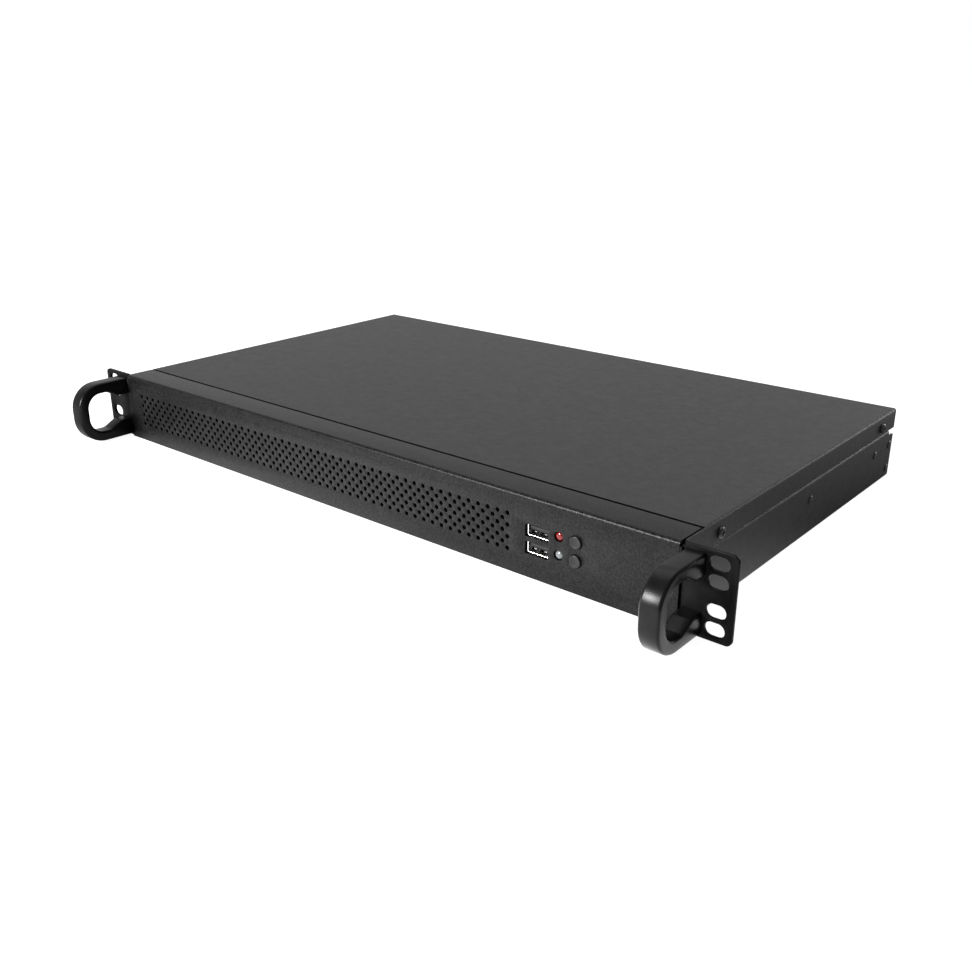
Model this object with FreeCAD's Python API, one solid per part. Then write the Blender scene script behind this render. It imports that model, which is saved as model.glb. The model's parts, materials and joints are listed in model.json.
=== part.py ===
import FreeCAD, Part
import math
import os

# A short-depth one-unit rack server. All lengths are in millimetres.
# X runs to the right as seen from the front, Y to the rear and Z up.
# While the pieces are drawn, Y is zero on the front face of the rack ears and Z is zero
# under the tray. Each finished piece is then moved along Y, so that the origin lies on the
# floor, under the middle of the whole server.

Vector = FreeCAD.Vector

# Overall sizes
rack_width = 482.6             # over both ears
body_inset = 26.3              # from an ear's outer edge to the side wall
body_height = 43.6             # one rack unit, less the clearance above it
body_depth = 256.0             # from the front of the ears to the rear panel

# Sheet thicknesses
tray_sheet = 1.2
cover_sheet = 1.0
panel_sheet = 1.5
ear_sheet = 2.0
rear_sheet = 1.2
bracket_sheet = 1.2
shield_sheet = 0.5
psu_sheet = 0.8
bend_radius = 0.5              # inside radius of the sheet bends

# Clearances
slip = 0.3                     # between neighbours that are not fastened face to face
cover_play = 0.5               # between the cover's skirts and the tray's lips
hole_play = 0.05               # radial play of a screw, rivet, pin or shaft in its hole
button_play = 0.2              # radial play of a button's cap in its hole

# Tray
skirt_height = 11.9            # how far the cover's skirts come down
joggle_height = 1.6
lip_return = 6.5               # inward fold on top of each side lip
front_lip_height = 9.0
front_lip_inset = 14.0         # from the side walls to the ends of the front lip
rear_notch_depth = 7.0         # open corner between wall and skirt at the rear
rear_notch_low = 27.5

# Front panel
strip_depth = 18.0             # flat top of the panel, behind the ears' front plane
strip_step = 1.0               # the step down to the ledge under the cover
ledge_depth = 9.0
ledge_inset = 16.0             # from the side walls to the ends of the ledge
strip_side_play = 0.4
panel_side_play = 0.2
seam = 0.3                     # between the panel's step and the cover's front edge
corner_relief = 2.6

# Perforated field of the front panel: staggered rows and columns
hole_width = 2.8               # over the corners of each square hole
hole_columns = 101
hole_rows = 7
hole_sides = 4
field_right_inset = 97.2       # from the right side wall to the right-most column
field_left_inset = 16.8

# Ears
ear_corner = 3.0
ear_flange_depth = 26.0
ear_flange_low = 3.0
ear_flange_high = 29.0
slot_width = 10.0
slot_height = 7.0
slot_inset = 8.75              # from the ear's outer edge to the slots' centres
outer_slot_spacing = 31.75
inner_slot_spacing = 14.0

# Handles
handle_reach = 37.5            # how far the grip stands out from the ears
handle_low = 1.4
handle_high = 41.2
handle_gap = 0.7               # between the body's side and the handle
handle_width = 10.6
handle_round = 16.5            # outer corner of the grip
grip_thickness = 6.8
leg_thickness = 6.8
foot_height = 11.0             # thick part of each leg that holds the screw
foot_length = 8.5
foot_blend = 8.0
handle_edge = 1.2              # bevel along its edges
handle_screw_radius = 2.0
handle_screw_length = 10.0
handle_screw_head = 3.8

# Facets of the turned pieces and of their holes
fine_sides = 12
plain_sides = 10
screw_sides = 8
bore_sides = 6
duct_sides = 14
wire_sides = 4
grip_chords = 6

# Fasteners
cover_screw_front = 33.4
cover_screw_rear_inset = 21.9
cover_screw_z = 36.4
cover_screw_radius = 1.5
cover_screw_head = 2.9
cover_screw_length = 5.0
screw_head_height = 1.7
rivet_radius = 1.5
rivet_head = 2.4
rivet_head_height = 0.8
rivet_end = 1.2                # how far a rivet stands out behind the sheets
rear_rivet_inset = 4.5
rear_rivet_z = [6.4, 21.6]
bracket_rivet_inset = [7.8, 9.3]  # from the front and rear ends of the drive's bracket
bracket_rivet_z = 20.6

# Front ports, lamps and buttons, at their centres
usb_inset = 79.0               # from the right side wall, as for the lamps and buttons
usb_z = [16.2, 25.4]
usb_cut_width = 14.2
usb_cut_height = 6.8
usb_width = 13.2
usb_height = 5.9
usb_depth = 14.2
usb_wall = 0.4
usb_tongue_width = 11.1
usb_tongue_thickness = 1.85
usb_tongue_depth = 8.6
lamp_inset = 65.9
lamp_z = [17.4, 27.1]
lamp_radius = 2.45
lamp_play = 0.2
lamp_stand_out = 0.5
button_inset = 55.8
button_z = [17.4, 27.1]
button_radius = 3.3
button_stand_out = 1.0
button_travel = 1.0
button_collar = 0.8
stem_radius = 1.5
switch_size = 6.0
switch_depth = 4.0
port_board_y = 13.0            # front face of the small board behind the panel
board_thickness = 1.6
port_board_margin = [13.5, 8.8]  # left of the ports' centre and right of the buttons'
port_board_low = 8.0
port_board_high = 35.0
stand_off_radius = 2.5
stand_off_inset = 3.1          # from the port board's sides
stand_off_z = [31.6, 11.6]

# Main board
main_board_size = 170.0
main_board_gap = 23.5          # between the power supply and the board
main_board_rear_gap = 2.0      # from the board's rear edge to the rear face
main_board_lift = 6.3
main_hole_radius = 1.9
main_hole_inset = [6.35, 10.16]  # from the left and rear edges
main_hole_far_inset = [6.17, 4.9]  # from the right and front edges
main_stand_off_radius = 3.0
main_screw_radius = 1.5
main_screw_head = 2.5
main_screw_height = 0.8
processor_size = 36.0
processor_height = 2.2
processor_from_left = 80.0
processor_from_rear = 94.0
sink_width = 88.0
sink_depth = 76.0
sink_base = 3.0
sink_height = 15.5
sink_fins = 17
sink_fin = 0.9

# Fans: outer size, depth, duct radius, hub radius, number of blades
case_fan = dict(size=38.0, depth=20.0, duct=18.0, hub=9.5, blades=5)
cpu_fan = dict(size=60.0, depth=10.0, duct=28.5, hub=14.0, blades=7)
psu_fan = dict(size=38.0, depth=15.0, duct=18.0, hub=9.5, blades=5)
blade_play = 0.8               # between the blade tips and the duct
blade_sheet = 1.2
shaft_radius = 1.5
fan_hole_radius = 1.7
fan_screw_inset = 4.0
blade_pitch = math.radians(52)
case_fan_gap = 22.0            # between the fans' bracket and the main board
case_fan_from_left = [22.0, 70.0]  # from the main board's left edge
fan_bracket_edge = 5.0
fan_bracket_foot = 12.0

# Plugs, headers and leads
front_plug_width = 10.0
front_plug_z = [22.0, 30.0]
usb_plug_z = [12.0, 18.0]
plug_depth = 5.0
front_header_inset = [50.0, 25.0]  # from the main board's right edge
usb_header_inset = [22.0, 14.0]
drive_header_inset = [10.0, 2.0]
drive_header_depth = 8.0
header_height = 8.0
power_socket_inset = 3.0       # from the main board's left edge
power_socket_width = 9.0
power_socket_length = 52.0
power_socket_rear_inset = 100.0
power_socket_height = 11.0
front_wire_pitch = 2.0
wire_radius = 0.65
usb_lead_radius = 2.2
power_lead_radius = 4.5
drive_lead_radius = 1.7

# Memory
memory_inset = [6.0, 76.0]     # of its socket, from the board's right and rear edges
memory_socket_length = 74.0
memory_socket_width = 6.0
memory_socket_height = 5.2
memory_length = 67.6
memory_depth = 30.0
memory_thickness = 1.2

# Rear panel and its openings
rear_flange = 10.0
rear_foot = 8.0
rear_notch_side = 5.3
rear_notch_height = 4.7
shield_inset = [4.0, 7.2]      # from the main board's left and right edges
shield_low = 5.2
shield_high = 39.0
shield_lap = 1.8
card_slot_gap = 33.2           # between the ports' opening and the card slot
card_slot_inset = 13.8         # from the inside of the right wall
card_slot_low = 25.0
card_slot_height = 12.8
card_blank_lap = 3.0
vent_inset = 4.0               # from the card slot's ends to the outer vents' middles
vent_count = 9
vent_width = 5.0
vent_low = 6.5
vent_high = 20.5

# Rear ports, at their centres, from the main board's right edge
port_stand_out = 0.4           # out of the rear panel
stack_inset = [56.0, 34.0]
stack_width = 17.0
stack_height = 27.4
stack_depth = 21.0
display_inset = 86.0
display_width = 17.4
display_height = 13.2
audio_inset = 17.0
audio_width = 12.0
audio_height = 24.0
serial_inset = 126.0
serial_width = 31.0
serial_height = 12.6

# Power supply
psu_gap = 8.8                  # between the left wall and the case
psu_width = 81.5
psu_length = 150.0
psu_height = 40.5
psu_lid = 0.8
psu_mouth_inset = 16.5         # where the board's power lead leaves the case
psu_mouth_z = 24.0
psu_mouth_size = 9.0
psu_fan_inset = 25.5           # fan centre from the left side of the case
inlet_inset = 19.5             # from the right side of the case, as for the switch
inlet_z = 14.6
inlet_width = 27.0
inlet_height = 19.8
inlet_flange_width = 31.0
inlet_flange_height = 22.6
inlet_flange = 2.0
inlet_depth = 18.0
socket_width = 24.4
socket_height = 16.6
socket_depth = 16.0
socket_corner = 5.0
inlet_pin_width = 4.0
inlet_pin_thickness = 2.0
inlet_pin_spread = 7.0
inlet_pin_offset = 2.0
rocker_z = 33.1
rocker_width = 16.0
rocker_height = 9.0
rocker_bezel_width = 19.6
rocker_bezel_height = 12.6
rocker_bezel = 1.4
rocker_tilt = 9.0              # to each side of the middle
rocker_depth = 7.0
rocker_stand_out = 1.8         # the middle of its V, out from its pivot
rocker_pivot = 2.0             # pivot axis, in from the supply's rear wall
rocker_pin_radius = 1.2
psu_screw_inset = 3.6
psu_screw_rise = 4.2
psu_opening_play = 0.6           # around the inlet's flange and the rocker's bezel

# Drive and its bracket
drive_width = 69.85
drive_length = 100.0
drive_height = 7.0
drive_gap = 9.95               # between the drive and the right wall
drive_rear_gap = 22.8          # between the drive and the rear wall
shelf_overhang = 6.0           # of the bracket beside and behind the drive
shelf_front_overhang = 3.0
shelf_height = 13.6
shelf_foot = 9.0
shelf_flange_high = 27.0
drive_hole_spacing = [61.72, 76.6]
drive_hole_front = 9.4
drive_recess_left = 10.0
drive_recess_width = 44.0
drive_recess_low = 1.5
drive_recess_height = 4.0
drive_recess_depth = 5.0

# Values that follow from those above
ear_edge = rack_width / 2
side_x = ear_edge - body_inset
inner_x = side_x - tray_sheet
lip_x = side_x - cover_sheet - cover_play
cover_under = body_height - cover_sheet
skirt_low = body_height - skirt_height
joggle_high = skirt_low - slip
tray_front = ear_sheet + bend_radius + slip
cover_front = strip_depth + strip_step + seam
strip_half = side_x - cover_sheet - strip_side_play
panel_half = side_x - panel_side_play
front_lip_half = side_x - front_lip_inset
ledge_half = side_x - ledge_inset
floor_top = tray_sheet
slot_x = ear_edge - slot_inset
middle_z = body_height / 2
field_right = side_x - field_right_inset
hole_pitch = (field_right + side_x - field_left_inset) / (hole_columns - 1)
cover_screw_y = [cover_screw_front, body_depth - cover_screw_rear_inset]
usb_x = side_x - usb_inset
lamp_x = side_x - lamp_inset
button_x = side_x - button_inset
port_board_left = usb_x - port_board_margin[0]
port_board_right = button_x + port_board_margin[1]
stand_off_x = [port_board_left + stand_off_inset, port_board_right - stand_off_inset]
handle_x = side_x + handle_gap + handle_width / 2
handle_screw_z = [handle_low + foot_height / 2, handle_high - foot_height / 2]
rear_inner = body_depth - rear_sheet
board_low = floor_top + main_board_lift
board_top = board_low + board_thickness
board_rear = body_depth - main_board_rear_gap
board_front = board_rear - main_board_size
psu_left = psu_gap - inner_x
psu_right = psu_left + psu_width
psu_front = rear_inner - psu_length
psu_mouth_x = psu_right - psu_mouth_inset
inlet_x = psu_right - inlet_inset
board_left = psu_right + main_board_gap
board_right = board_left + main_board_size
processor_centre = [board_left + processor_from_left, board_rear - processor_from_rear]
sink_low = board_top + processor_height
memory_x = board_right - memory_inset[0]
memory_y = [board_rear - memory_inset[1] - memory_socket_length, board_rear - memory_inset[1]]
case_fan_rear = board_front - case_fan_gap
case_fan_x = [board_left + distance for distance in case_fan_from_left]
psu_top = floor_top + psu_height
psu_lid_low = psu_top - psu_lid
rear_reach = rear_inner + inlet_flange
port_face = body_depth + port_stand_out
plug_back = port_board_y + board_thickness + plug_depth
plug_x = usb_x - front_plug_width / 2 - 1.5
front_plug_x = [plug_x - front_plug_width / 2, plug_x + front_plug_width / 2]
header_front = board_front + 3.0
header_z = board_top + header_height / 2
lead_room = header_front - plug_back
front_header_x = [board_right - distance for distance in front_header_inset]
usb_header_x = [board_right - distance for distance in usb_header_inset]
drive_header_x = [board_right - distance for distance in drive_header_inset]
drive_header_y = [memory_y[0] - 2.0 - drive_header_depth, memory_y[0] - 2.0]
power_socket_x = [board_left + power_socket_inset,
                  board_left + power_socket_inset + power_socket_width]
power_socket_y = [board_rear - power_socket_rear_inset - power_socket_length,
                  board_rear - power_socket_rear_inset]
shield_left = board_left + shield_inset[0]
shield_right = board_right - shield_inset[1]
stack_x = [board_right - distance for distance in stack_inset]
display_x = board_right - display_inset
audio_x = board_right - audio_inset
serial_x = board_right - serial_inset
card_slot_left = shield_right + card_slot_gap
card_slot_right = inner_x - card_slot_inset
vent_pitch = (card_slot_right - card_slot_left - 2 * vent_inset) / (vent_count - 1)
drive_left = inner_x - drive_gap - drive_width
drive_front = rear_inner - drive_rear_gap - drive_length
shelf_left = drive_left - shelf_overhang
shelf_front = drive_front - shelf_front_overhang
shelf_rear = drive_front + drive_length + shelf_overhang
bracket_rivet_y = [shelf_front + bracket_rivet_inset[0], shelf_rear - bracket_rivet_inset[1]]
origin_y = (rear_reach - handle_reach) / 2


# Shared shapes


def spot(plane, u, v, level):
    """A point of a plane: xy at a height, xz at a depth, or yz at a width."""
    if plane == "xy":
        return Vector(u, v, level)
    if plane == "xz":
        return Vector(u, level, v)
    return Vector(level, u, v)


def rounded(corners, chords):
    """The points of a closed outline: each corner (u, v, radius) is rounded by chords of
    its arc."""
    points = []
    for index, (u, v, radius) in enumerate(corners):
        before = corners[index - 1]
        after = corners[(index + 1) % len(corners)]
        here = Vector(u, v, 0)
        back = (Vector(before[0], before[1], 0) - here).normalize()
        ahead = (Vector(after[0], after[1], 0) - here).normalize()
        half = back.getAngle(ahead) / 2
        if radius == 0:
            points.append(here)
            continue
        centre = here + (back + ahead).normalize() * (radius / math.sin(half))
        spoke = here + back * (radius / math.tan(half)) - centre
        turn = (math.pi - 2 * half) * (1 if ahead.cross(back).z > 0 else -1)
        for step in range(chords + 1):
            rotation = FreeCAD.Rotation(Vector(0, 0, 1), math.degrees(turn * step / chords))
            points.append(centre + rotation.multVec(spoke))
    return points


def outline(plane, corners, level=0.0, chords=2):
    """A closed wire in a plane through corners (u, v, radius)."""
    points = [spot(plane, point.x, point.y, level) for point in rounded(corners, chords)]
    return Part.makePolygon(points + points[:1])


def sheet(plane, corners, level, thickness, holes=(), chords=2):
    """A flat plate on a plane, from a level, with the given wires cut out of it."""
    edge = outline(plane, corners, level, chords)
    face = Part.makeFace([edge, *holes], "Part::FaceMakerBullseye")
    return face.extrude(spot(plane, 0, 0, thickness))


def rectangle(left, right, low, high, radius=0.0):
    """The four corners of a rectangle, each with the same radius."""
    return [(left, low, radius), (right, low, radius), (right, high, radius), (left, high, radius)]


def window(plane, u, v, width, height, level, radius=0.0):
    """A rectangular wire about a centre."""
    edges = rectangle(u - width / 2, u + width / 2, v - height / 2, v + height / 2, radius)
    return outline(plane, edges, level)


def bent(path, thickness, inside=bend_radius):
    """The outline of a folded sheet, whose one face follows the path and whose
    thickness lies on the left of it."""
    count = len(path)
    normals = []
    for start, end in zip(path, path[1:]):
        along = Vector(end[0] - start[0], end[1] - start[1], 0).normalize()
        normals.append(Vector(-along.y, along.x, 0))
    near = [(path[0][0], path[0][1], 0.0)]
    first = normals[0] * thickness
    far = [(path[0][0] + first.x, path[0][1] + first.y, 0.0)]
    for index in range(1, count - 1):
        u, v = path[index]
        before = normals[index - 1]
        after = normals[index]
        mitre = (before + after) * (thickness / (1 + before.dot(after)))
        left_turn = before.cross(after).z > 0
        near.append((u, v, inside + thickness if left_turn else inside))
        far.append((u + mitre.x, v + mitre.y, inside if left_turn else inside + thickness))
    last = normals[-1] * thickness
    near.append((path[-1][0], path[-1][1], 0.0))
    far.append((path[-1][0] + last.x, path[-1][1] + last.y, 0.0))
    return near + far[::-1]


def block(x_range, y_range, z_range):
    """A box between three pairs of values."""
    size = [high - low for low, high in (x_range, y_range, z_range)]
    return Part.makeBox(*size, Vector(x_range[0], y_range[0], z_range[0]))


def about(centre, width):
    """The two values that lie half a width to each side of a centre."""
    return (centre - width / 2, centre + width / 2)


def placed(shape, start, direction):
    """The shape with its origin at the start and its Z along the direction."""
    shape.Placement = FreeCAD.Placement(
        Vector(*start), FreeCAD.Rotation(Vector(0, 0, 1), Vector(*direction)))
    return shape


def ring(z, radius, sides):
    """The corners of a regular polygon about Z."""
    step = 2 * math.pi / sides
    return [Vector(radius * math.cos(step * n), radius * math.sin(step * n), z)
            for n in range(sides)]


def turned(levels, sides, start=(0, 0, 0), direction=(0, 0, 1)):
    """A turned solid with flat facets, through levels (z, radius) along its axis."""
    rings = [ring(z, radius, sides) for z, radius in levels]
    faces = [Part.Face(Part.makePolygon(end + end[:1])) for end in (rings[0], rings[-1])]
    for low, high in zip(rings, rings[1:]):
        for n in range(sides):
            after = (n + 1) % sides
            corners = [low[n], low[after], high[after], high[n], low[n]]
            faces.append(Part.Face(Part.makePolygon(corners)))
    solid = Part.makeSolid(Part.makeShell(faces))
    if solid.Volume < 0:
        solid.reverse()
    return placed(solid, start, direction)


def prism(start, direction, length, radius, sides):
    """A bar with a regular polygon for its section, with its corners on the radius."""
    return turned([(0, radius), (length, radius)], sides, start, direction)


def bore(start, direction, length, radius, sides=bore_sides):
    """A cutter for a hole, whose flats lie on the radius."""
    return prism(start, direction, length, radius / math.cos(math.pi / sides), sides)


def screw(seat, direction, shank, length, head):
    """A pan-head screw: its head stands on the seat and its shank runs on along the
    direction."""
    slope = screw_head_height * 0.45
    levels = [(-screw_head_height, head - slope), (slope - screw_head_height, head), (0, head),
              (0, shank), (length, shank)]
    return turned(levels, screw_sides, seat, direction)


def small_screw(seat, direction, length):
    """A small machine screw with a flat head."""
    levels = [(-main_screw_height, main_screw_head), (0, main_screw_head), (0, main_screw_radius),
              (length, main_screw_radius)]
    return turned(levels, bore_sides, seat, direction)


def rivet(seat, direction, grip):
    """A set rivet: its domed head stands on the seat and its end behind the sheets."""
    levels = [(-rivet_head_height, rivet_head * 0.6), (0, rivet_head), (0, rivet_radius),
              (grip + rivet_end, rivet_radius)]
    return turned(levels, bore_sides, seat, direction)


def mirrored(shape):
    """The same shape on the other side of the server."""
    return shape.mirror(Vector(0, 0, 0), Vector(1, 0, 0))


def fused(pieces):
    """One solid from pieces that meet."""
    return pieces[0].multiFuse(pieces[1:]).removeSplitter()


def cut(shape, tools):
    """The shape with all the tools taken away."""
    return shape.cut(Part.makeCompound(tools))


def lead(points, radius, sides=wire_sides):
    """A lead along straight runs, joined by arcs."""
    stops = [Vector(*point) for point in points]
    edges = []
    start = stops[0]
    for before, here, after in zip(stops, stops[1:], stops[2:]):
        back = before - here
        ahead = after - here
        half = back.getAngle(ahead) / 2
        reach = 0.45 * min(back.Length, ahead.Length)
        bend = reach * math.tan(half)
        back.normalize()
        ahead.normalize()
        inward = (back + ahead).normalize() * (bend / math.sin(half) - bend)
        edges.append(Part.LineSegment(start, here + back * reach).toShape())
        edges.append(Part.Arc(here + back * reach, here + inward, here + ahead * reach).toShape())
        start = here + ahead * reach
    edges.append(Part.LineSegment(start, stops[-1]).toShape())
    corners = ring(0, radius, sides)
    section = placed(Part.makePolygon(corners + corners[:1]), stops[0], stops[1] - stops[0])
    return Part.Wire(edges).makePipeShell([section], True, False)


# Case


def base_tray():
    """Floor, side walls and joggled lips: one folded sheet, with a lip up behind the
    front panel."""
    right = [
        (side_x, 0), (side_x, joggle_high - joggle_height), (lip_x, joggle_high),
        (lip_x, cover_under), (lip_x - lip_return, cover_under)]
    left = [(-x, z) for x, z in right[::-1]]
    tray = sheet("xz", bent(left + right, tray_sheet), tray_front, body_depth - tray_front)
    tongue_path = [(0, front_lip_height), (0, 0), (tray_front + ledge_depth, 0)]
    tongue = sheet("yz", bent(tongue_path, tray_sheet), -front_lip_half, 2 * front_lip_half)
    wide = (-side_x - 1, side_x + 1)
    panel_under = body_height - panel_sheet - slip
    tools = [
        block(wide, (body_depth - rear_notch_depth, body_depth + 1), (rear_notch_low, body_height)),
        block(wide, (0, cover_front), (panel_under, body_height))]
    for sign in (-1, 1):
        for y in cover_screw_y:
            span = sorted([sign * (lip_x - lip_return - 1), sign * (lip_x + slip)])
            width = 2 * (cover_screw_radius + slip)
            tools.append(block(span, about(y, width), (cover_screw_z - width / 2, body_height)))
        for z in rear_rivet_z:
            tools.append(side_hole(sign, body_depth - rear_rivet_inset, z, rivet_radius))
    for y in bracket_rivet_y:
        tools.append(side_hole(1, y, bracket_rivet_z, rivet_radius))
    return cut(fused([tray, tongue]), tools)


def side_hole(sign, y, z, radius):
    """A round cutter through the sheets of a side wall."""
    return bore((sign * (side_x - 5), y, z), (sign, 0, 0), 10, radius + hole_play)


def top_cover():
    """Top plate with a skirt down each side; the skirts run on beside the front panel's
    strip."""
    path = [(side_x, skirt_low), (side_x, body_height), (-side_x, body_height), (-side_x, skirt_low)]
    cover = sheet("xz", bent(path, cover_sheet), tray_front, body_depth - tray_front)
    tools = [block((-side_x + cover_sheet, side_x - cover_sheet), (0, cover_front),
                   (skirt_low, body_height + 1))]
    tools.append(block((-side_x - 1, side_x + 1), (0, cover_front),
                       (body_height - cover_sheet / 2, body_height + 1)))
    for sign in (-1, 1):
        for y in cover_screw_y:
            tools.append(side_hole(sign, y, cover_screw_z, cover_screw_radius))
    return cut(cover, tools)


def cover_screws():
    """The four screws that hold the cover's skirts."""
    screws = []
    for sign in (-1, 1):
        for y in cover_screw_y:
            screws.append(screw((sign * side_x, y, cover_screw_z), (-sign, 0, 0),
                                cover_screw_radius, cover_screw_length, cover_screw_head))
    return Part.makeCompound(screws)


def perforation():
    """Cutters of the staggered field, column by column from the right."""
    cutters = []
    for column in range(hole_columns):
        for row in range(column % 2, hole_rows, 2):
            x = field_right - column * hole_pitch
            z = middle_z + (row - (hole_rows - 1) / 2) * hole_pitch
            cutters.append(prism((x, 1, z), (0, -1, 0), panel_sheet + 2, hole_width / 2, hole_sides))
    return cutters


def front_panel():
    """Perforated face with a top strip that steps down to a ledge under the cover."""
    front = -panel_sheet
    step = [(strip_depth + strip_step + ledge_depth, cover_under),
            (strip_depth + strip_step, cover_under)]
    face = [(strip_depth, body_height), (front, body_height), (front, 0)]
    middle = sheet("yz", bent(step + face, panel_sheet), -ledge_half, 2 * ledge_half)
    plain = bent([(strip_depth + strip_step - slip, body_height)] + face[1:], panel_sheet)
    pieces = [middle]
    for side in (-strip_half, ledge_half):
        pieces.append(sheet("yz", plain, side, strip_half - ledge_half))
    for sign in (-1, 1):
        edge = sorted([sign * strip_half, sign * panel_half])
        pieces.append(block(edge, (front, 0), (0, body_height - corner_relief)))
    tools = perforation()
    for z in usb_z:
        cutter = rectangle(*about(usb_x, usb_cut_width), *about(z, usb_cut_height))
        tools.append(sheet("xz", cutter, front - 1, panel_sheet + 2))
    for z in lamp_z:
        tools.append(bore((lamp_x, front - 1, z), (0, 1, 0), panel_sheet + 2,
                          lamp_radius + lamp_play, fine_sides))
    for z in button_z:
        tools.append(bore((button_x, front - 1, z), (0, 1, 0), panel_sheet + 2,
                          button_radius + button_play, fine_sides))
    return cut(fused(pieces), tools)


def rear_panel():
    """Rear wall folded into the tray, with open upper corners and all its openings."""
    path = [
        (body_depth - rear_foot, floor_top), (body_depth, floor_top),
        (body_depth, cover_under), (body_depth - rear_flange, cover_under)]
    half = lip_x - lip_return - slip
    pieces = [sheet("yz", bent(path, rear_sheet), -half, 2 * half)]
    flange = [(inner_x, body_depth - rear_flange), (inner_x, body_depth), (half - 1, body_depth)]
    flange_low = floor_top + bend_radius + slip
    notch_top = rear_notch_low + rear_notch_height
    for sign in (-1, 1):
        corner = [(sign * x, y) for x, y in flange]
        if sign < 0:
            corner = corner[::-1]
        pieces.append(sheet("xy", bent(corner, rear_sheet), flange_low,
                            rear_notch_low - 2 - flange_low))
        tab = sorted([sign * (half - 1), sign * (side_x - cover_sheet - slip)])
        pieces.append(block(tab, (rear_inner, body_depth), (notch_top, cover_under - slip)))
        step = sorted([sign * (half - 1), sign * (inner_x - rear_notch_side)])
        pieces.append(block(step, (rear_inner, body_depth), (floor_top, cover_under - slip)))
    tools = [block((psu_left - slip, psu_right + slip), (body_depth - rear_flange - 1, rear_inner),
                   (floor_top, cover_under))]
    tools += rear_openings()
    for sign in (-1, 1):
        for z in rear_rivet_z:
            tools.append(side_hole(sign, body_depth - rear_rivet_inset, z, rivet_radius))
    return cut(fused(pieces), tools)


def rear_openings():
    """Cutters through the rear wall: ports, card slot, power supply, vents and screws."""
    through = rear_inner - 1
    depth = rear_sheet + 2
    spans = [
        (shield_left, shield_right, shield_low, shield_high),
        (card_slot_left, card_slot_right, card_slot_low, card_slot_low + card_slot_height),
        (*about(inlet_x, inlet_flange_width + 2 * psu_opening_play),
         *about(inlet_z, inlet_flange_height + 2 * psu_opening_play)),
        (*about(inlet_x, rocker_bezel_width + 2 * psu_opening_play),
         *about(rocker_z, rocker_bezel_height + 2 * psu_opening_play))]
    for number in range(vent_count):
        x = card_slot_left + vent_inset + number * vent_pitch
        spans.append((*about(x, vent_width), vent_low, vent_high))
    tools = [block((left, right), (through, through + depth), (low, high))
             for left, right, low, high in spans]
    tools.append(bore((psu_left + psu_fan_inset, through, psu_fan_z()), (0, 1, 0), depth,
                      psu_fan["duct"], duct_sides))
    for x, z in [*psu_screw_places(), (card_screw_x(), card_screw_z())]:
        tools.append(bore((x, through, z), (0, 1, 0), depth, main_screw_radius + hole_play))
    return tools


def side_rivets():
    """Rivets at the rear corners of both walls, and those of the drive's bracket."""
    rivets = []
    for sign in (-1, 1):
        for z in rear_rivet_z:
            rivets.append(rivet((sign * side_x, body_depth - rear_rivet_inset, z), (-sign, 0, 0),
                                tray_sheet + rear_sheet))
    for y in bracket_rivet_y:
        rivets.append(rivet((side_x, y, bracket_rivet_z), (-1, 0, 0), tray_sheet + bracket_sheet))
    return Part.makeCompound(rivets)


# Ears and handles


def slot_wires(level):
    """The four slots of the right ear: two straight sides and two round ends each."""
    wires = []
    end = slot_height / 2
    left, right = about(slot_x, slot_width - slot_height)
    for spacing in (outer_slot_spacing, inner_slot_spacing):
        for z in about(middle_z, spacing):
            edges = []
            for start, stop, side in ((left, right, -end), (right, left, end)):
                corner = spot("xz", stop, z + side, level)
                tip = spot("xz", stop - side, z, level)
                edges.append(Part.LineSegment(spot("xz", start, z + side, level), corner).toShape())
                edges.append(Part.Arc(corner, tip, spot("xz", stop, z - side, level)).toShape())
            wires.append(Part.Wire(edges))
    return wires


def ear():
    """The right ear: a slotted plate with a flange welded inside the side wall."""
    inner = inner_x - ear_sheet
    wing_top = body_height - panel_sheet - slip
    plate_corners = [
        (inner_x, 0, 0), (ear_edge, 0, ear_corner), (ear_edge, body_height, ear_corner),
        (side_x + slip, body_height, 0), (side_x + slip, wing_top, 0), (inner_x, wing_top, 0)]
    plate = sheet("xz", plate_corners, 0, ear_sheet, slot_wires(0))
    path = [(inner, ear_flange_depth), (inner, 0), (inner_x + 0.5, 0)]
    flange = sheet("xy", bent(path, ear_sheet), ear_flange_low, ear_flange_high - ear_flange_low)
    bores = [bore((handle_x, -1, z), (0, 1, 0), ear_sheet + 2, handle_screw_radius + hole_play)
             for z in handle_screw_z]
    return cut(fused([plate, flange]), bores)


def handle():
    """The right handle: a D-shaped grip whose two legs thicken into screw bosses."""
    low = handle_low
    high = handle_high
    front = -handle_reach
    inner_front = front + grip_thickness
    inner_low = low + leg_thickness
    inner_high = high - leg_thickness
    inner_round = handle_round - grip_thickness
    thick_end = -foot_length
    thin_start = -foot_length - foot_blend
    corners = [
        (0, low, 0), (0, low + foot_height, 0), (thick_end, low + foot_height, 3),
        (thin_start, inner_low, 6), (inner_front, inner_low, inner_round),
        (inner_front, inner_high, inner_round), (thin_start, inner_high, 6),
        (thick_end, high - foot_height, 3), (0, high - foot_height, 0), (0, high, 0),
        (front, high, handle_round), (front, low, handle_round)]
    grip = sheet("yz", corners, handle_x - handle_width / 2, handle_width, chords=grip_chords)
    long_edges = [edge for edge in grip.Edges
                  if edge.BoundBox.XLength < 1e-6 and edge.BoundBox.YMin < -1e-3]
    grip = grip.makeChamfer(handle_edge, long_edges)
    bores = []
    for z in handle_screw_z:
        bores.append(bore((handle_x, 1, z), (0, -1, 0), handle_screw_length + 2,
                          handle_screw_radius + hole_play))
    return cut(grip, bores)


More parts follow.
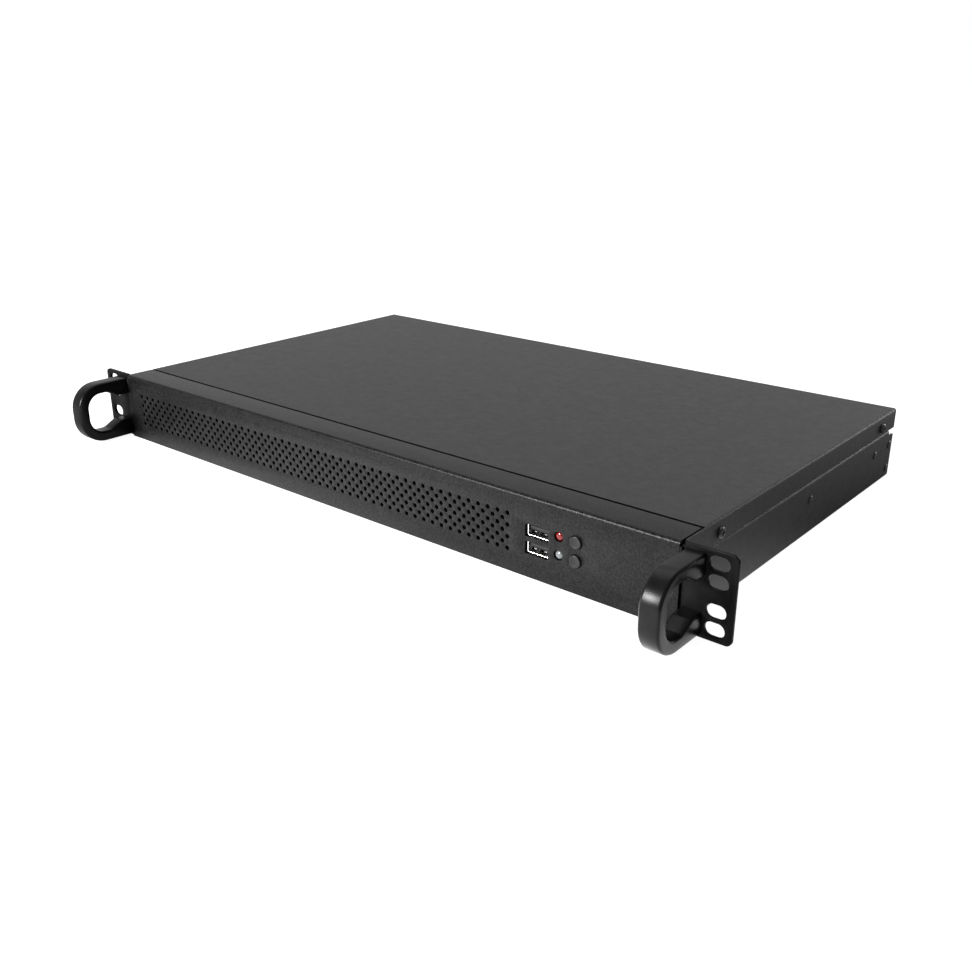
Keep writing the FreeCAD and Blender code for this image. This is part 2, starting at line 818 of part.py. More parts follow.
def handle_screws():
    """Screws through the ears into the handles' legs, from behind."""
    screws = []
    for sign in (-1, 1):
        for z in handle_screw_z:
            screws.append(screw((sign * handle_x, ear_sheet, z), (0, -1, 0), handle_screw_radius,
                                handle_screw_length + ear_sheet, handle_screw_head))
    return Part.makeCompound(screws)


# Front ports


def usb_shells():
    """Two folded metal shells, open to the front."""
    shells = []
    for z in usb_z:
        start = port_board_y - usb_depth
        outer = block(about(usb_x, usb_width), (start, port_board_y), about(z, usb_height))
        inner = block(about(usb_x, usb_width - 2 * usb_wall), (start - 1, port_board_y - 0.6),
                      about(z, usb_height - 2 * usb_wall))
        shells.append(outer.cut(inner))
    return Part.makeCompound(shells)


def usb_tongues():
    """The insulating tongue in the upper part of each shell, with its foot at the back."""
    tongues = []
    for z in usb_z:
        top = z + usb_height / 2 - usb_wall - 0.8
        back = port_board_y - 0.6
        inside = usb_width - 2 * usb_wall - 2 * hole_play
        plate = block(about(usb_x, usb_tongue_width), (back - usb_tongue_depth - 3, back - 1),
                      (top - usb_tongue_thickness, top))
        foot = block(about(usb_x, inside), (back - 3, back),
                     about(z, usb_height - 2 * usb_wall - 2 * hole_play))
        tongues.append(fused([plate, foot]))
    return Part.makeCompound(tongues)


def port_board():
    """The small upright board behind the panel, with two lead connectors on its back."""
    corners = rectangle(port_board_left, port_board_right, port_board_low, port_board_high)
    board = sheet("xz", corners, port_board_y, board_thickness)
    plugs = [block(front_plug_x, (port_board_y + board_thickness, plug_back), z)
             for z in (front_plug_z, usb_plug_z)]
    return fused([board, *plugs])


def port_stand_off_posts():
    """Two round posts between the front panel and the port board."""
    posts = []
    for x, z in zip(stand_off_x, stand_off_z):
        posts.append(prism((x, 0, z), (0, 1, 0), port_board_y, stand_off_radius, 6))
    return Part.makeCompound(posts)


def lamp(z):
    """A domed lamp in its hole, on two legs from the port board."""
    tip = -panel_sheet - lamp_stand_out
    body_end = 5.0
    levels = [(0, lamp_radius * 0.55), (0.3, lamp_radius * 0.8), (0.9, lamp_radius * 0.95),
              (1.8, lamp_radius), (body_end - tip, lamp_radius)]
    dome = turned(levels, fine_sides, (lamp_x, tip, z), (0, 1, 0))
    legs = [block(about(lamp_x + side, 0.5), (body_end - 1, port_board_y), about(z, 0.5))
            for side in (-1.27, 1.27)]
    return fused([dome, *legs])


def button(z):
    """A round cap with a collar behind the panel and a stem into its switch."""
    front = -panel_sheet - button_stand_out
    collar = button_radius + button_collar
    collar_start = slip - front
    collar_end = collar_start + 1.2
    levels = [(0, button_radius - 0.4), (0.4, button_radius), (collar_start, button_radius),
              (collar_start, collar), (collar_end, collar), (collar_end, stem_radius),
              (stem_tip() - front, stem_radius)]
    return turned(levels, fine_sides, (button_x, front, z), (0, 1, 0))


def stem_tip():
    """Where a button's stem ends, one travel and a gap before its switch's well."""
    return port_board_y - 1.2 - button_travel - slip


def button_switches():
    """The two switch bodies on the port board, each with a well for the button's stem."""
    bodies = []
    for z in button_z:
        front = port_board_y - switch_depth
        body = block(about(button_x, switch_size), (front, port_board_y), about(z, switch_size))
        well = bore((button_x, front - 1, z), (0, 1, 0), switch_depth + 1 - 1.2,
                    stem_radius + hole_play, plain_sides)
        bodies.append(body.cut(well))
    return Part.makeCompound(bodies)


# Fans


def fan_frame(fan, centre, direction):
    """A square frame with a round duct, three struts and a bearing for the rotor's shaft.
    The fan blows along the direction, and its struts are at the end it blows from."""
    half = fan["size"] / 2
    depth = fan["depth"]
    duct = bore((0, 0, -1), (0, 0, 1), depth + 2, fan["duct"], duct_sides)
    frame = block((-half, half), (-half, half), (0, depth)).cut(duct)
    base = prism((0, 0, depth - 2), (0, 0, 1), 2, fan["hub"], plain_sides)
    bearing = prism((0, 0, 4), (0, 0, 1), depth - 5, shaft_radius + 1.6, bore_sides)
    pieces = [frame, base, bearing]
    for angle in (90, 210, 330):
        strut = block((fan["hub"] - 1, (fan["duct"] + half) / 2), (-0.9, 0.9), (depth - 2, depth))
        strut.rotate(Vector(0, 0, 0), Vector(0, 0, 1), angle)
        pieces.append(strut)
    tools = [bore((0, 0, 0), (0, 0, 1), depth - 1, shaft_radius + hole_play)]
    for side, up in fan_screw_places(fan):
        tools.append(bore((side, -up, -1), (0, 0, 1), depth + 2, fan_hole_radius))
    return placed(cut(fused(pieces), tools), centre, direction)


def fan_rotor(fan, centre, direction):
    """A cup-shaped hub with pitched blades and a shaft in the frame's bearing."""
    hub = fan["hub"]
    end = fan["depth"] - 2 - slip
    half_run = (end - 1.5) / math.tan(blade_pitch) / 2
    tip = math.sqrt((fan["duct"] - blade_play) ** 2 - half_run ** 2)
    root = hub * 0.85
    section = [(-half_run, 1.0, 0), (-half_run + blade_sheet, 1.0, 0), (half_run, end - 0.5, 0),
               (half_run - blade_sheet, end - 0.5, 0)]
    pieces = [prism((0, 0, 0.5), (0, 0, 1), end - 0.5, hub, plain_sides)]
    for number in range(fan["blades"]):
        blade = sheet("yz", section, root, tip - root)
        blade.rotate(Vector(0, 0, 0), Vector(0, 0, 1), 360 * number / fan["blades"])
        pieces.append(blade)
    hollow = prism((0, 0, 2), (0, 0, 1), fan["depth"], hub - 1.2, plain_sides)
    shaft = prism((0, 0, 1), (0, 0, 1), fan["depth"] - 2 - slip, shaft_radius, bore_sides)
    return placed(fused([fused(pieces).cut(hollow), shaft]), centre, direction)


def case_fan_start(x):
    """Front centre of a case fan, which stands before its bracket."""
    return (x, case_fan_rear - case_fan["depth"], floor_top + slip + case_fan["size"] / 2)


def cpu_fan_start():
    """Top centre of the processor's fan, which lies on its heat sink."""
    top = sink_low + sink_height + cpu_fan["depth"]
    return (processor_centre[0], processor_centre[1], top)


def psu_fan_z():
    """Height of the power supply's fan."""
    return floor_top + (psu_height + psu_sheet - psu_lid) / 2


def psu_fan_start():
    """Front centre of the power supply's fan, at the rear wall of its case."""
    return (psu_left + psu_fan_inset, rear_inner - psu_sheet - psu_fan["depth"], psu_fan_z())


def fan_bracket():
    """A folded plate that carries the two case fans behind their ducts."""
    path = [(case_fan_rear, cover_under - slip), (case_fan_rear, floor_top),
            (case_fan_rear + fan_bracket_foot, floor_top)]
    left = case_fan_x[0] - case_fan["size"] / 2 - fan_bracket_edge
    right = case_fan_x[1] + case_fan["size"] / 2 + fan_bracket_edge
    plate = sheet("yz", bent(path, bracket_sheet), left, right - left)
    tools = []
    for x in case_fan_x:
        start = case_fan_start(x)
        tools.append(bore((x, case_fan_rear - 1, start[2]), (0, 1, 0), bracket_sheet + 2,
                          case_fan["duct"] - 0.5, duct_sides))
        for side, up in fan_screw_places(case_fan):
            tools.append(bore((x + side, case_fan_rear - 1, start[2] + up), (0, 1, 0),
                              bracket_sheet + 2, main_screw_radius + hole_play))
    return cut(plate, tools)


def fan_screw_places(fan):
    """The two opposite corners of a fan that are screwed down."""
    reach = fan["size"] / 2 - fan_screw_inset
    return [(-reach, -reach), (reach, reach)]


def fan_screws():
    """The screws of the case fans, put in from behind their bracket."""
    screws = []
    for x in case_fan_x:
        start = case_fan_start(x)
        for side, up in fan_screw_places(case_fan):
            seat = (x + side, case_fan_rear + bracket_sheet, start[2] + up)
            screws.append(small_screw(seat, (0, -1, 0), 8))
    return screws


# Main board


def main_hole_places():
    """The four screw places of the main board."""
    places = []
    for x in (board_left + main_hole_inset[0], board_right - main_hole_far_inset[0]):
        for y in (board_rear - main_hole_inset[1], board_front + main_hole_far_inset[1]):
            places.append((x, y))
    return places


def main_board():
    """The main board with its four holes."""
    board = block((board_left, board_right), (board_front, board_rear), (board_low, board_top))
    return cut(board, [bore((x, y, board_low - 1), (0, 0, 1), board_thickness + 2,
                            main_hole_radius) for x, y in main_hole_places()])


def main_stand_offs():
    """Threaded posts between the tray's floor and the main board."""
    posts = []
    for x, y in main_hole_places():
        post = prism((x, y, floor_top), (0, 0, 1), main_board_lift, main_stand_off_radius, 6)
        thread = bore((x, y, board_low - 5), (0, 0, 1), 6, main_screw_radius + hole_play)
        posts.append(post.cut(thread))
    return Part.makeCompound(posts)


def main_screws():
    """The screws that hold the main board on its posts."""
    return [small_screw((x, y, board_top), (0, 0, -1), board_thickness + 4)
            for x, y in main_hole_places()]


def processor():
    """The processor's package, soldered to the board, with its raised lid."""
    x, y = processor_centre
    package = block(about(x, processor_size), about(y, processor_size), (board_top, board_top + 1))
    lid = block(about(x, processor_size * 0.75), about(y, processor_size * 0.75),
                (board_top, board_top + processor_height))
    return fused([package, lid])


def heat_sink():
    """A finned block on the processor, with its fins along the case."""
    x, y = processor_centre
    left = x - sink_width / 2
    pitch = (sink_width - sink_fin) / (sink_fins - 1)
    low = sink_low
    top = sink_low + sink_height
    floor = sink_low + sink_base
    comb = [(left, low, 0), (left + sink_width, low, 0)]
    for number in range(sink_fins - 1, -1, -1):
        start = left + number * pitch
        comb.append((start + sink_fin, top, 0))
        comb.append((start, top, 0))
        if number > 0:
            comb.append((start, floor, 0))
            comb.append((start - pitch + sink_fin, floor, 0))
    return sheet("xz", comb, y - sink_depth / 2, sink_depth)


def sink_posts():
    """Four sprung posts that hold the heat sink's corners to the board."""
    x, y = processor_centre
    posts = []
    for side in about(x, sink_width - 10):
        for along in about(y, sink_depth - 10):
            posts.append(prism((side, along, board_top), (0, 0, 1), sink_low - board_top, 2.5, 6))
    return Part.makeCompound(posts)


def memory_socket():
    """The socket along the board's right edge, which holds the module's gold edge."""
    low, high = memory_y
    x = (memory_x, memory_x + memory_socket_width)
    body = block(x, (low, high), (board_top, board_top + memory_socket_height))
    arms = []
    for y in ((low, low + 2), (high - 2, high)):
        arms.append(block((memory_x - memory_depth + 2, memory_x + 1), y, (board_top, board_top + 4)))
    groove = block((memory_x - 1, memory_x + 3), about((low + high) / 2, memory_length + 2 * slip),
                   about(memory_module_z() + memory_thickness / 2, memory_thickness + 2 * hole_play))
    return fused([body, *arms]).cut(groove)


def memory_module_z():
    """Underside of the memory module's board."""
    return board_top + 2.4


def memory_module():
    """The module: its board with four chips on top, flat over the main board."""
    z = memory_module_z()
    y = sum(memory_y) / 2
    card = block((memory_x + 2.5 - memory_depth, memory_x + 2.5), about(y, memory_length),
                 (z, z + memory_thickness))
    chips = []
    for number in range(4):
        centre = y + (number - 1.5) * memory_length / 4.4
        chips.append(block(about(memory_x - memory_depth / 2, 9), about(centre, 12),
                           (z + memory_thickness, z + memory_thickness + 1)))
    return fused([card, *chips])


def board_parts():
    """Chokes, capacitors, headers and connectors that stand on the main board."""
    header_top = board_top + header_height
    header_span = (header_front, header_front + 5)
    pieces = [
        block(power_socket_x, power_socket_y, (board_top, board_top + power_socket_height)),
        block(front_header_x, header_span, (board_top, header_top)),
        block(usb_header_x, header_span, (board_top, header_top)),
        block(drive_header_x, drive_header_y, (board_top, header_top))]
    for x in (board_left + 28, board_left + 50):
        pieces.append(block(about(x, 16), (header_front, header_front + 7), (board_top, header_top)))
    chip = block(about(board_left + 92, 12), about(board_front + 36, 12), (board_top, board_top + 2))
    pieces.append(chip)
    for number in range(4):
        y = processor_centre[1] - 27 + number * 12
        choke = processor_centre[0] - 63
        pieces.append(block((choke, choke + 9), about(y, 9), (board_top, board_top + 6)))
        pieces.append(prism((choke + 14, y, board_top), (0, 0, 1), 7, 3, plain_sides))
    return Part.makeCompound(pieces)


def coin_cell():
    """The coin cell in its flat holder."""
    x = board_left + 70
    y = board_front + 14
    holder = prism((x, y, board_top), (0, 0, 1), 2, 11.5, fine_sides)
    cell = prism((x, y, board_top + 1), (0, 0, 1), 3.2, 10, fine_sides)
    return fused([holder, cell])


# Rear ports


def lan_usb_stacks():
    """Two stacks: a network socket above two wide ports."""
    stacks = []
    for x in stack_x:
        body = block(about(x, stack_width), (port_face - stack_depth, port_face),
                     (board_top, board_top + stack_height))
        network = block(about(x, 12.0), (port_face - 13, port_face + 1),
                        (board_top + 16.2, board_top + 24.6))
        tools = [network]
        for low in (1.2, 8.4):
            mouth = block(about(x, 13.2), (port_face - 12, port_face + 1),
                          (board_top + low, board_top + low + 5.4))
            tongue = block(about(x, 11.2), (port_face - 13, port_face - 1),
                           (board_top + low + 3.0, board_top + low + 4.6))
            tools.append(mouth.cut(tongue))
        stacks.append(cut(body, tools))
    return Part.makeCompound(stacks)


def display_ports():
    """Two flat display sockets, one above the other."""
    low = board_top
    body = block(about(display_x, display_width), (port_face - 14, port_face),
                 (low, low + display_height))
    mouths = []
    for base in (1.2, 7.2):
        mouth = block(about(display_x, 14.2), (port_face - 9, port_face + 1),
                      (low + base, low + base + 4.6))
        tongue = block(about(display_x, 11.6), (port_face - 10, port_face - 1),
                       (low + base + 1.8, low + base + 2.8))
        mouths.append(mouth.cut(tongue))
    return cut(body, mouths)


def audio_jacks():
    """A block with two round sockets, one above the other."""
    body = block(about(audio_x, audio_width), (port_face - 14, port_face),
                 (board_top, board_top + audio_height))
    bores = [bore((audio_x, port_face + 1, board_top + z), (0, -1, 0), 13, 1.8, plain_sides)
             for z in (6.0, 18.0)]
    return cut(body, bores)


def serial_port():
    """A nine-way port: a slanted metal rim with an insulator, and two hex posts."""
    z = board_top + serial_height / 2
    body = block(about(serial_x, serial_width), (rear_inner - 13, rear_inner - shield_sheet - 0.3),
                 about(z, serial_height))
    rim = [(serial_x - 8.4, z - 3.6, 1.2), (serial_x + 8.4, z - 3.6, 1.2),
           (serial_x + 9.6, z + 3.6, 1.2), (serial_x - 9.6, z + 3.6, 1.2)]
    mouth = [(serial_x - 7.6, z - 3.0, 0.9), (serial_x + 7.6, z - 3.0, 0.9),
             (serial_x + 8.7, z + 3.0, 0.9), (serial_x - 8.7, z + 3.0, 0.9)]
    start = rear_inner - 2
    collar = sheet("xz", rim, start, port_face - start, [outline("xz", mouth, start)])
    posts = [prism((serial_x + side, start, z), (0, 1, 0), port_face - start, 2.4, 6)
             for side in (-12.5, 12.5)]
    return fused([body, collar, *posts])


def io_shield():
    """The thin plate behind the rear panel's opening, cut out around each port."""
    level = rear_inner - shield_sheet
    holes = []
    for x in stack_x:
        holes.append(window("xz", x, board_top + stack_height / 2, stack_width + 2 * slip,
                            stack_height + 2 * slip, level))
    holes.append(window("xz", display_x, board_top + display_height / 2, display_width + 2 * slip,
                        display_height + 2 * slip, level))
    holes.append(window("xz", audio_x, board_top + audio_height / 2, audio_width + 2 * slip,
                        audio_height + 2 * slip, level))
    holes.append(window("xz", serial_x, board_top + serial_height / 2, serial_width + 2 * slip,
                        serial_height + 2 * slip, level))
    corners = rectangle(shield_left - shield_lap, shield_right + shield_lap,
                        shield_low - shield_lap, shield_high + shield_lap)
    return sheet("xz", corners, level, shield_sheet, holes)


def card_screw_x():
    """Where the card slot's blank is screwed to the rear panel."""
    return card_slot_right + card_blank_lap + 2


def card_screw_z():
    """Height of the blank's screw."""
    return card_slot_low + card_slot_height / 2


def card_blank():
    """The plate that closes the unused card slot from inside."""
    level = rear_inner - rear_sheet
    right = card_screw_x() + 3
    corners = rectangle(card_slot_left - card_blank_lap, right, card_slot_low - card_blank_lap,
                        card_slot_low + card_slot_height + card_blank_lap)
    hole = bore((card_screw_x(), level - 1, card_screw_z()), (0, 1, 0), rear_sheet + 2,
                main_screw_radius + hole_play)
    return sheet("xz", corners, level, rear_sheet).cut(hole)


def rear_screws():
    """The screws of the power supply and of the card slot's blank, put in from outside."""
    places = [*psu_screw_places(), (card_screw_x(), card_screw_z())]
    return [small_screw((x, body_depth, z), (0, -1, 0), 5) for x, z in places]


# Power supply


def psu_screw_places():
    """The three screws that hold the power supply to the rear panel."""
    return [(psu_left + psu_screw_inset, floor_top + psu_screw_rise),
            (psu_left + psu_screw_inset, psu_top - psu_screw_rise),
            (psu_right - psu_screw_inset, psu_top - psu_screw_rise)]


def psu_case():
    """The open-topped case of the power supply."""
    outer = block((psu_left, psu_right), (psu_front, rear_inner), (floor_top, psu_lid_low))
    inner = block((psu_left + psu_sheet, psu_right - psu_sheet),
                  (psu_front + psu_sheet, rear_inner - psu_sheet),
                  (floor_top + psu_sheet, psu_lid_low + 1))
    tools = [inner]
    through = rear_inner - psu_sheet - 1
    tools.append(bore((psu_left + psu_fan_inset, through, psu_fan_z()), (0, 1, 0), psu_sheet + 2,
                      psu_fan["duct"] - 0.5, duct_sides))
    tools.append(block(about(inlet_x, inlet_width + 2 * slip), (through, rear_inner + 1),
                       about(inlet_z, inlet_height + 2 * slip)))
    tools.append(block(about(inlet_x, rocker_width + 2), (through, rear_inner + 1),
                       about(rocker_z, rocker_height + 2)))
    for x, z in psu_screw_places():
        tools.append(bore((x, through, z), (0, 1, 0), psu_sheet + 2, main_screw_radius + hole_play))
    for number in range(5):
        x = psu_left + 9 + number * 8
        tools.append(block(about(x, 4), (psu_front - 1, psu_front + psu_sheet + 1),
                           (floor_top + 6, psu_lid_low - 6)))
    tools.append(block(about(psu_mouth_x, psu_mouth_size), (psu_front - 1, psu_front + psu_sheet + 1),
                       about(psu_mouth_z, psu_mouth_size)))
    return cut(outer, tools)


def psu_cover():
    """The flat lid of the power supply."""
    return block((psu_left, psu_right), (psu_front, rear_inner), (psu_lid_low, psu_top))


def psu_board():
    """The supply's circuit board with its transformer, capacitors and heat sinks."""
    low = floor_top + psu_sheet
    fan_front = psu_fan_start()[1]
    board = block((psu_left + 3, psu_right - 3), (psu_front + 4, fan_front - 2), (low + 3, low + 4.6))
    pieces = [board]
    for x in (psu_left + 6, psu_right - 6):
        for y in (psu_front + 8, fan_front - 6):
            pieces.append(prism((x, y, low), (0, 0, 1), 4, 2.5, 6))
    top = low + 4.6
    solid_parts = [
        ((psu_left + 28, psu_left + 52), (psu_front + 40, psu_front + 70), 24),
        ((psu_left + 6, psu_left + 9), (psu_front + 20, psu_front + 100), 26),
        ((psu_right - 14, psu_right - 11), (psu_front + 20, psu_front + 90), 26)]
    for x_range, y_range, height in solid_parts:
        pieces.append(block(x_range, y_range, (top - 1, top + height)))
    pieces.append(prism((psu_left + 40, psu_front + 88, top - 1), (0, 0, 1), 28, 9, plain_sides))
    pieces.append(prism((psu_left + 22, psu_front + 20, top - 1), (0, 0, 1), 22, 6, plain_sides))
    return fused(pieces)


def power_inlet():
    """The mains inlet: a flange outside, a body inside and a keyed socket."""
    flange = block(about(inlet_x, inlet_flange_width), (rear_inner, rear_reach),
                   about(inlet_z, inlet_flange_height))
    body = block(about(inlet_x, inlet_width), (rear_reach - inlet_depth, rear_inner + 0.5),
                 about(inlet_z, inlet_height))
    half = socket_width / 2
    low = inlet_z - socket_height / 2
    high = inlet_z + socket_height / 2
    mouth = [
        (inlet_x - half, low, 0), (inlet_x + half, low, 0),
        (inlet_x + half, high - socket_corner, 0), (inlet_x + half - socket_corner, high, 0),
        (inlet_x - half + socket_corner, high, 0), (inlet_x - half, high - socket_corner, 0)]
    socket = sheet("xz", mouth, rear_reach - socket_depth, socket_depth + 1)
    return fused([flange, body]).cut(socket)


def inlet_pins():
    """The three flat pins in the inlet's socket."""
    pins = []
    start = rear_reach - socket_depth
    for side, up in ((-inlet_pin_spread, -inlet_pin_offset), (0, inlet_pin_offset),
                     (inlet_pin_spread, -inlet_pin_offset)):
        pins.append(block(about(inlet_x + side, inlet_pin_thickness), (start, rear_reach - 1.5),
                          about(inlet_z + up, inlet_pin_width)))
    return Part.makeCompound(pins)


def rocker_bezel_frame():
    """The rocker switch's bezel and body, with a well for the rocker."""
    bezel = block(about(inlet_x, rocker_bezel_width), (rear_inner, rear_inner + rocker_bezel),
                  about(rocker_z, rocker_bezel_height))
    body = block(about(inlet_x, rocker_width + 1.4), (rear_inner - rocker_depth - 3, rear_inner + 0.5),
                 about(rocker_z, rocker_height + 1.6))
    well = block(about(inlet_x, rocker_width), (rear_inner - rocker_depth, rear_inner + 3),
                 about(rocker_z, rocker_height))
    pin_hole = bore((inlet_x, rear_inner - rocker_pivot, rocker_z - rocker_height / 2 - 0.5), (0, 0, 1),
                    rocker_height + 1.0, rocker_pin_radius + hole_play, plain_sides)
    return fused([bezel, body]).cut(fused([well, pin_hole]))


def psu_rocker():
    """The rocker: two faces that meet in a shallow V, on two pivot pins."""
    reach = rocker_width / 2 - 1.0
    slope = math.radians(rocker_tilt)
    rise = reach * math.tan(slope)
    front = rocker_stand_out
    corners = [(-reach, front + rise, 0), (0, front, 0), (reach, front + rise, 0),
               (reach * 0.55, -3.4, 0), (-reach * 0.55, -3.4, 0)]
    height = rocker_height - 2 * slip
    rocker = sheet("xy", corners, -height / 2, height)
    pins = prism((0, 0, -rocker_height / 2 - 0.3), (0, 0, 1), rocker_height + 0.6,
                 rocker_pin_radius, plain_sides)
    rocker = fused([rocker, pins])
    rocker.rotate(Vector(0, 0, 0), Vector(0, 0, 1), rocker_tilt)
    rocker.translate(Vector(inlet_x, rear_inner - rocker_pivot, rocker_z))
    return rocker


# Drive


def drive_bracket():
    """A folded shelf from the right wall to the floor."""
    path = [
        (shelf_left - shelf_foot, floor_top), (shelf_left, floor_top), (shelf_left, shelf_height),
        (inner_x, shelf_height), (inner_x, shelf_flange_high)]
    shelf = sheet("xz", bent(path, bracket_sheet), shelf_front, shelf_rear - shelf_front)
    tools = [side_hole(1, y, bracket_rivet_z, rivet_radius) for y in bracket_rivet_y]
    for x, y in drive_screw_places():
        tools.append(bore((x, y, shelf_height - 1), (0, 0, 1), bracket_sheet + 2,
                          main_screw_radius + hole_play))
    return cut(shelf, tools)


def drive_screw_places():
    """The four threaded holes under the drive."""
    middle = drive_left + drive_width / 2
    places = []
    for x in about(middle, drive_hole_spacing[0]):
        for y in (drive_front + drive_hole_front, drive_front + drive_hole_front + drive_hole_spacing[1]):
            places.append((x, y))
    return places


def drive():
    """A flat drive with its connector recess facing the front."""
    low = shelf_height + bracket_sheet
    body = block((drive_left, drive_left + drive_width), (drive_front, drive_front + drive_length),
                 (low, low + drive_height))
    left = drive_left + drive_recess_left
    recess_low = low + drive_recess_low
    tools = [block((left, left + drive_recess_width), (drive_front - 1, drive_front + drive_recess_depth),
                   (recess_low, recess_low + drive_recess_height))]
    for x, y in drive_screw_places():
        tools.append(bore((x, y, low - 1), (0, 0, 1), 4, main_screw_radius + hole_play))
    return cut(body, tools)


def drive_screws():
    """Screws up through the shelf into the drive."""
    return [small_screw((x, y, shelf_height), (0, 0, 1), bracket_sheet + 2.5)
            for x, y in drive_screw_places()]


def small_screws():
    """All the small machine screws, which are alike."""
    return Part.makeCompound([*fan_screws(), *main_screws(), *rear_screws(), *drive_screws()])


# Leads inside the case


def front_wire(index):
    """One of the lamps' and buttons' wires, from the port board to the main board."""
    z = front_plug_z[0] + 2.0 + index * front_wire_pitch
    x = front_header_x[0] + 6.0 + index * front_wire_pitch * 1.5
    first_bend = plug_back + lead_room * 0.22
    second_bend = plug_back + lead_room * 0.46 + 2.5 * index
    return lead([(plug_x, plug_back, z), (plug_x, first_bend, z), (x, second_bend, header_z),
                 (x, header_front, header_z)], wire_radius)


def usb_lead():
    """The lead of the front ports."""
    z = sum(usb_plug_z) / 2
    x = sum(usb_header_x) / 2
    first_bend = plug_back + lead_room * 0.36
    second_bend = plug_back + lead_room * 0.6
    return lead([(plug_x, plug_back, z), (plug_x, first_bend, z), (x, second_bend, header_z),
                 (x, header_front, header_z)], usb_lead_radius)


def power_lead():
    """The board's power lead: a grommet at the supply, the bundle and its plug."""
    grommet = block(about(psu_mouth_x, psu_mouth_size + 6), (psu_front - 3, psu_front),
                    about(psu_mouth_z, psu_mouth_size + 6))
    x = sum(power_socket_x) / 2
    z = board_top + power_socket_height + 6
    plug = block(about(x, 10), (power_socket_y[0] + 2, power_socket_y[1] - 2),
                 (board_top + power_socket_height, board_top + power_socket_height + 12))
    bundle = lead([(psu_mouth_x, psu_front - 3, psu_mouth_z), (psu_mouth_x, psu_front - 21, psu_mouth_z),
                   (x, power_socket_y[0] - 22, z), (x, power_socket_y[0] + 2, z)], power_lead_radius)
    return fused([grommet, bundle, plug])


def drive_lead():
    """The drive's lead, from the plug in its recess to the main board."""
    low = shelf_height + bracket_sheet + drive_recess_low + slip
    high = low + drive_recess_height - 2 * slip
    left = drive_left + drive_recess_left + slip
    right = left + drive_recess_width - 2 * slip
    plug_front = drive_front - 6
    plug = block((left, right), (plug_front, drive_front + drive_recess_depth), (low, high))
    x = (left + right) / 2
    z = (low + high) / 2
    end = drive_header_x[1]
    y = sum(drive_header_y) / 2
    cable = lead([(x, plug_front, z), (x, plug_front - 16, z), (end + 32, y, header_z),
                  (end, y, header_z)], drive_lead_radius)
    return fused([plug, cable])


# Saving


def save(name, shape):
    """Moves a piece to the server's own origin and writes it."""
    shape = shape.copy()
    shape.translate(Vector(0, -origin_y, 0))
    shape.exportStep("parts/" + name + ".step")
    print(name, len(shape.Solids), "valid" if shape.isValid() else "NOT VALID",
          round(shape.Volume, 2))


def build():
    os.makedirs("parts", exist_ok=True)
    save("base_tray", base_tray())
    save("top_cover", top_cover())
    save("cover_screws", cover_screws())
    save("front_panel", front_panel())
    save("rear_panel", rear_panel())
    save("side_rivets", side_rivets())
    save("ear_right", ear())
    save("ear_left", mirrored(ear()))
    save("handle_right", handle())
    save("handle_left", mirrored(handle()))
    save("handle_screws", handle_screws())
    save("usb_shells", usb_shells())
    save("usb_tongues", usb_tongues())
    save("port_board", port_board())
    save("port_board_posts", port_stand_off_posts())
    save("drive_lamp", lamp(lamp_z[0]))
    save("power_lamp", lamp(lamp_z[1]))
    save("reset_button", button(button_z[0]))
    save("power_button", button(button_z[1]))
    save("button_switches", button_switches())
    save("fan_bracket", fan_bracket())
    for name, x in zip(("left", "right"), case_fan_x):
        save("case_fan_frame_" + name, fan_frame(case_fan, case_fan_start(x), (0, 1, 0)))
        save("case_fan_rotor_" + name, fan_rotor(case_fan, case_fan_start(x), (0, 1, 0)))
    save("main_board", main_board())
    save("board_posts", main_stand_offs())
    save("board_parts", board_parts())
    save("coin_cell", coin_cell())
    save("processor", processor())
    save("heat_sink", heat_sink())
    save("heat_sink_posts", sink_posts())
    save("cpu_fan_frame", fan_frame(cpu_fan, cpu_fan_start(), (0, 0, -1)))
    save("cpu_fan_rotor", fan_rotor(cpu_fan, cpu_fan_start(), (0, 0, -1)))
    save("memory_socket", memory_socket())
    save("memory_module", memory_module())
    save("lan_usb_stacks", lan_usb_stacks())
    save("display_ports", display_ports())
    save("audio_jacks", audio_jacks())
    save("serial_port", serial_port())
    save("io_shield", io_shield())
    save("card_blank", card_blank())
    save("psu_case", psu_case())
    save("psu_cover", psu_cover())
    save("psu_board", psu_board())
    save("psu_fan_frame", fan_frame(psu_fan, psu_fan_start(), (0, 1, 0)))
    save("psu_fan_rotor", fan_rotor(psu_fan, psu_fan_start(), (0, 1, 0)))
    save("power_inlet", power_inlet())
    save("inlet_pins", inlet_pins())
    save("rocker_bezel", rocker_bezel_frame())
    save("psu_rocker", psu_rocker())
    save("drive_bracket", drive_bracket())
    save("drive", drive())
    save("small_screws", small_screws())
    for index, colour in enumerate(("red", "green", "white")):
        save("front_wire_" + colour, front_wire(index))
    save("usb_lead", usb_lead())
    save("power_lead", power_lead())
    save("drive_lead", drive_lead())


build()
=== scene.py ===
import json
import math
import bpy
import numpy as np
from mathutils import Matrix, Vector
from mathutils.geometry import delaunay_2d_cdt


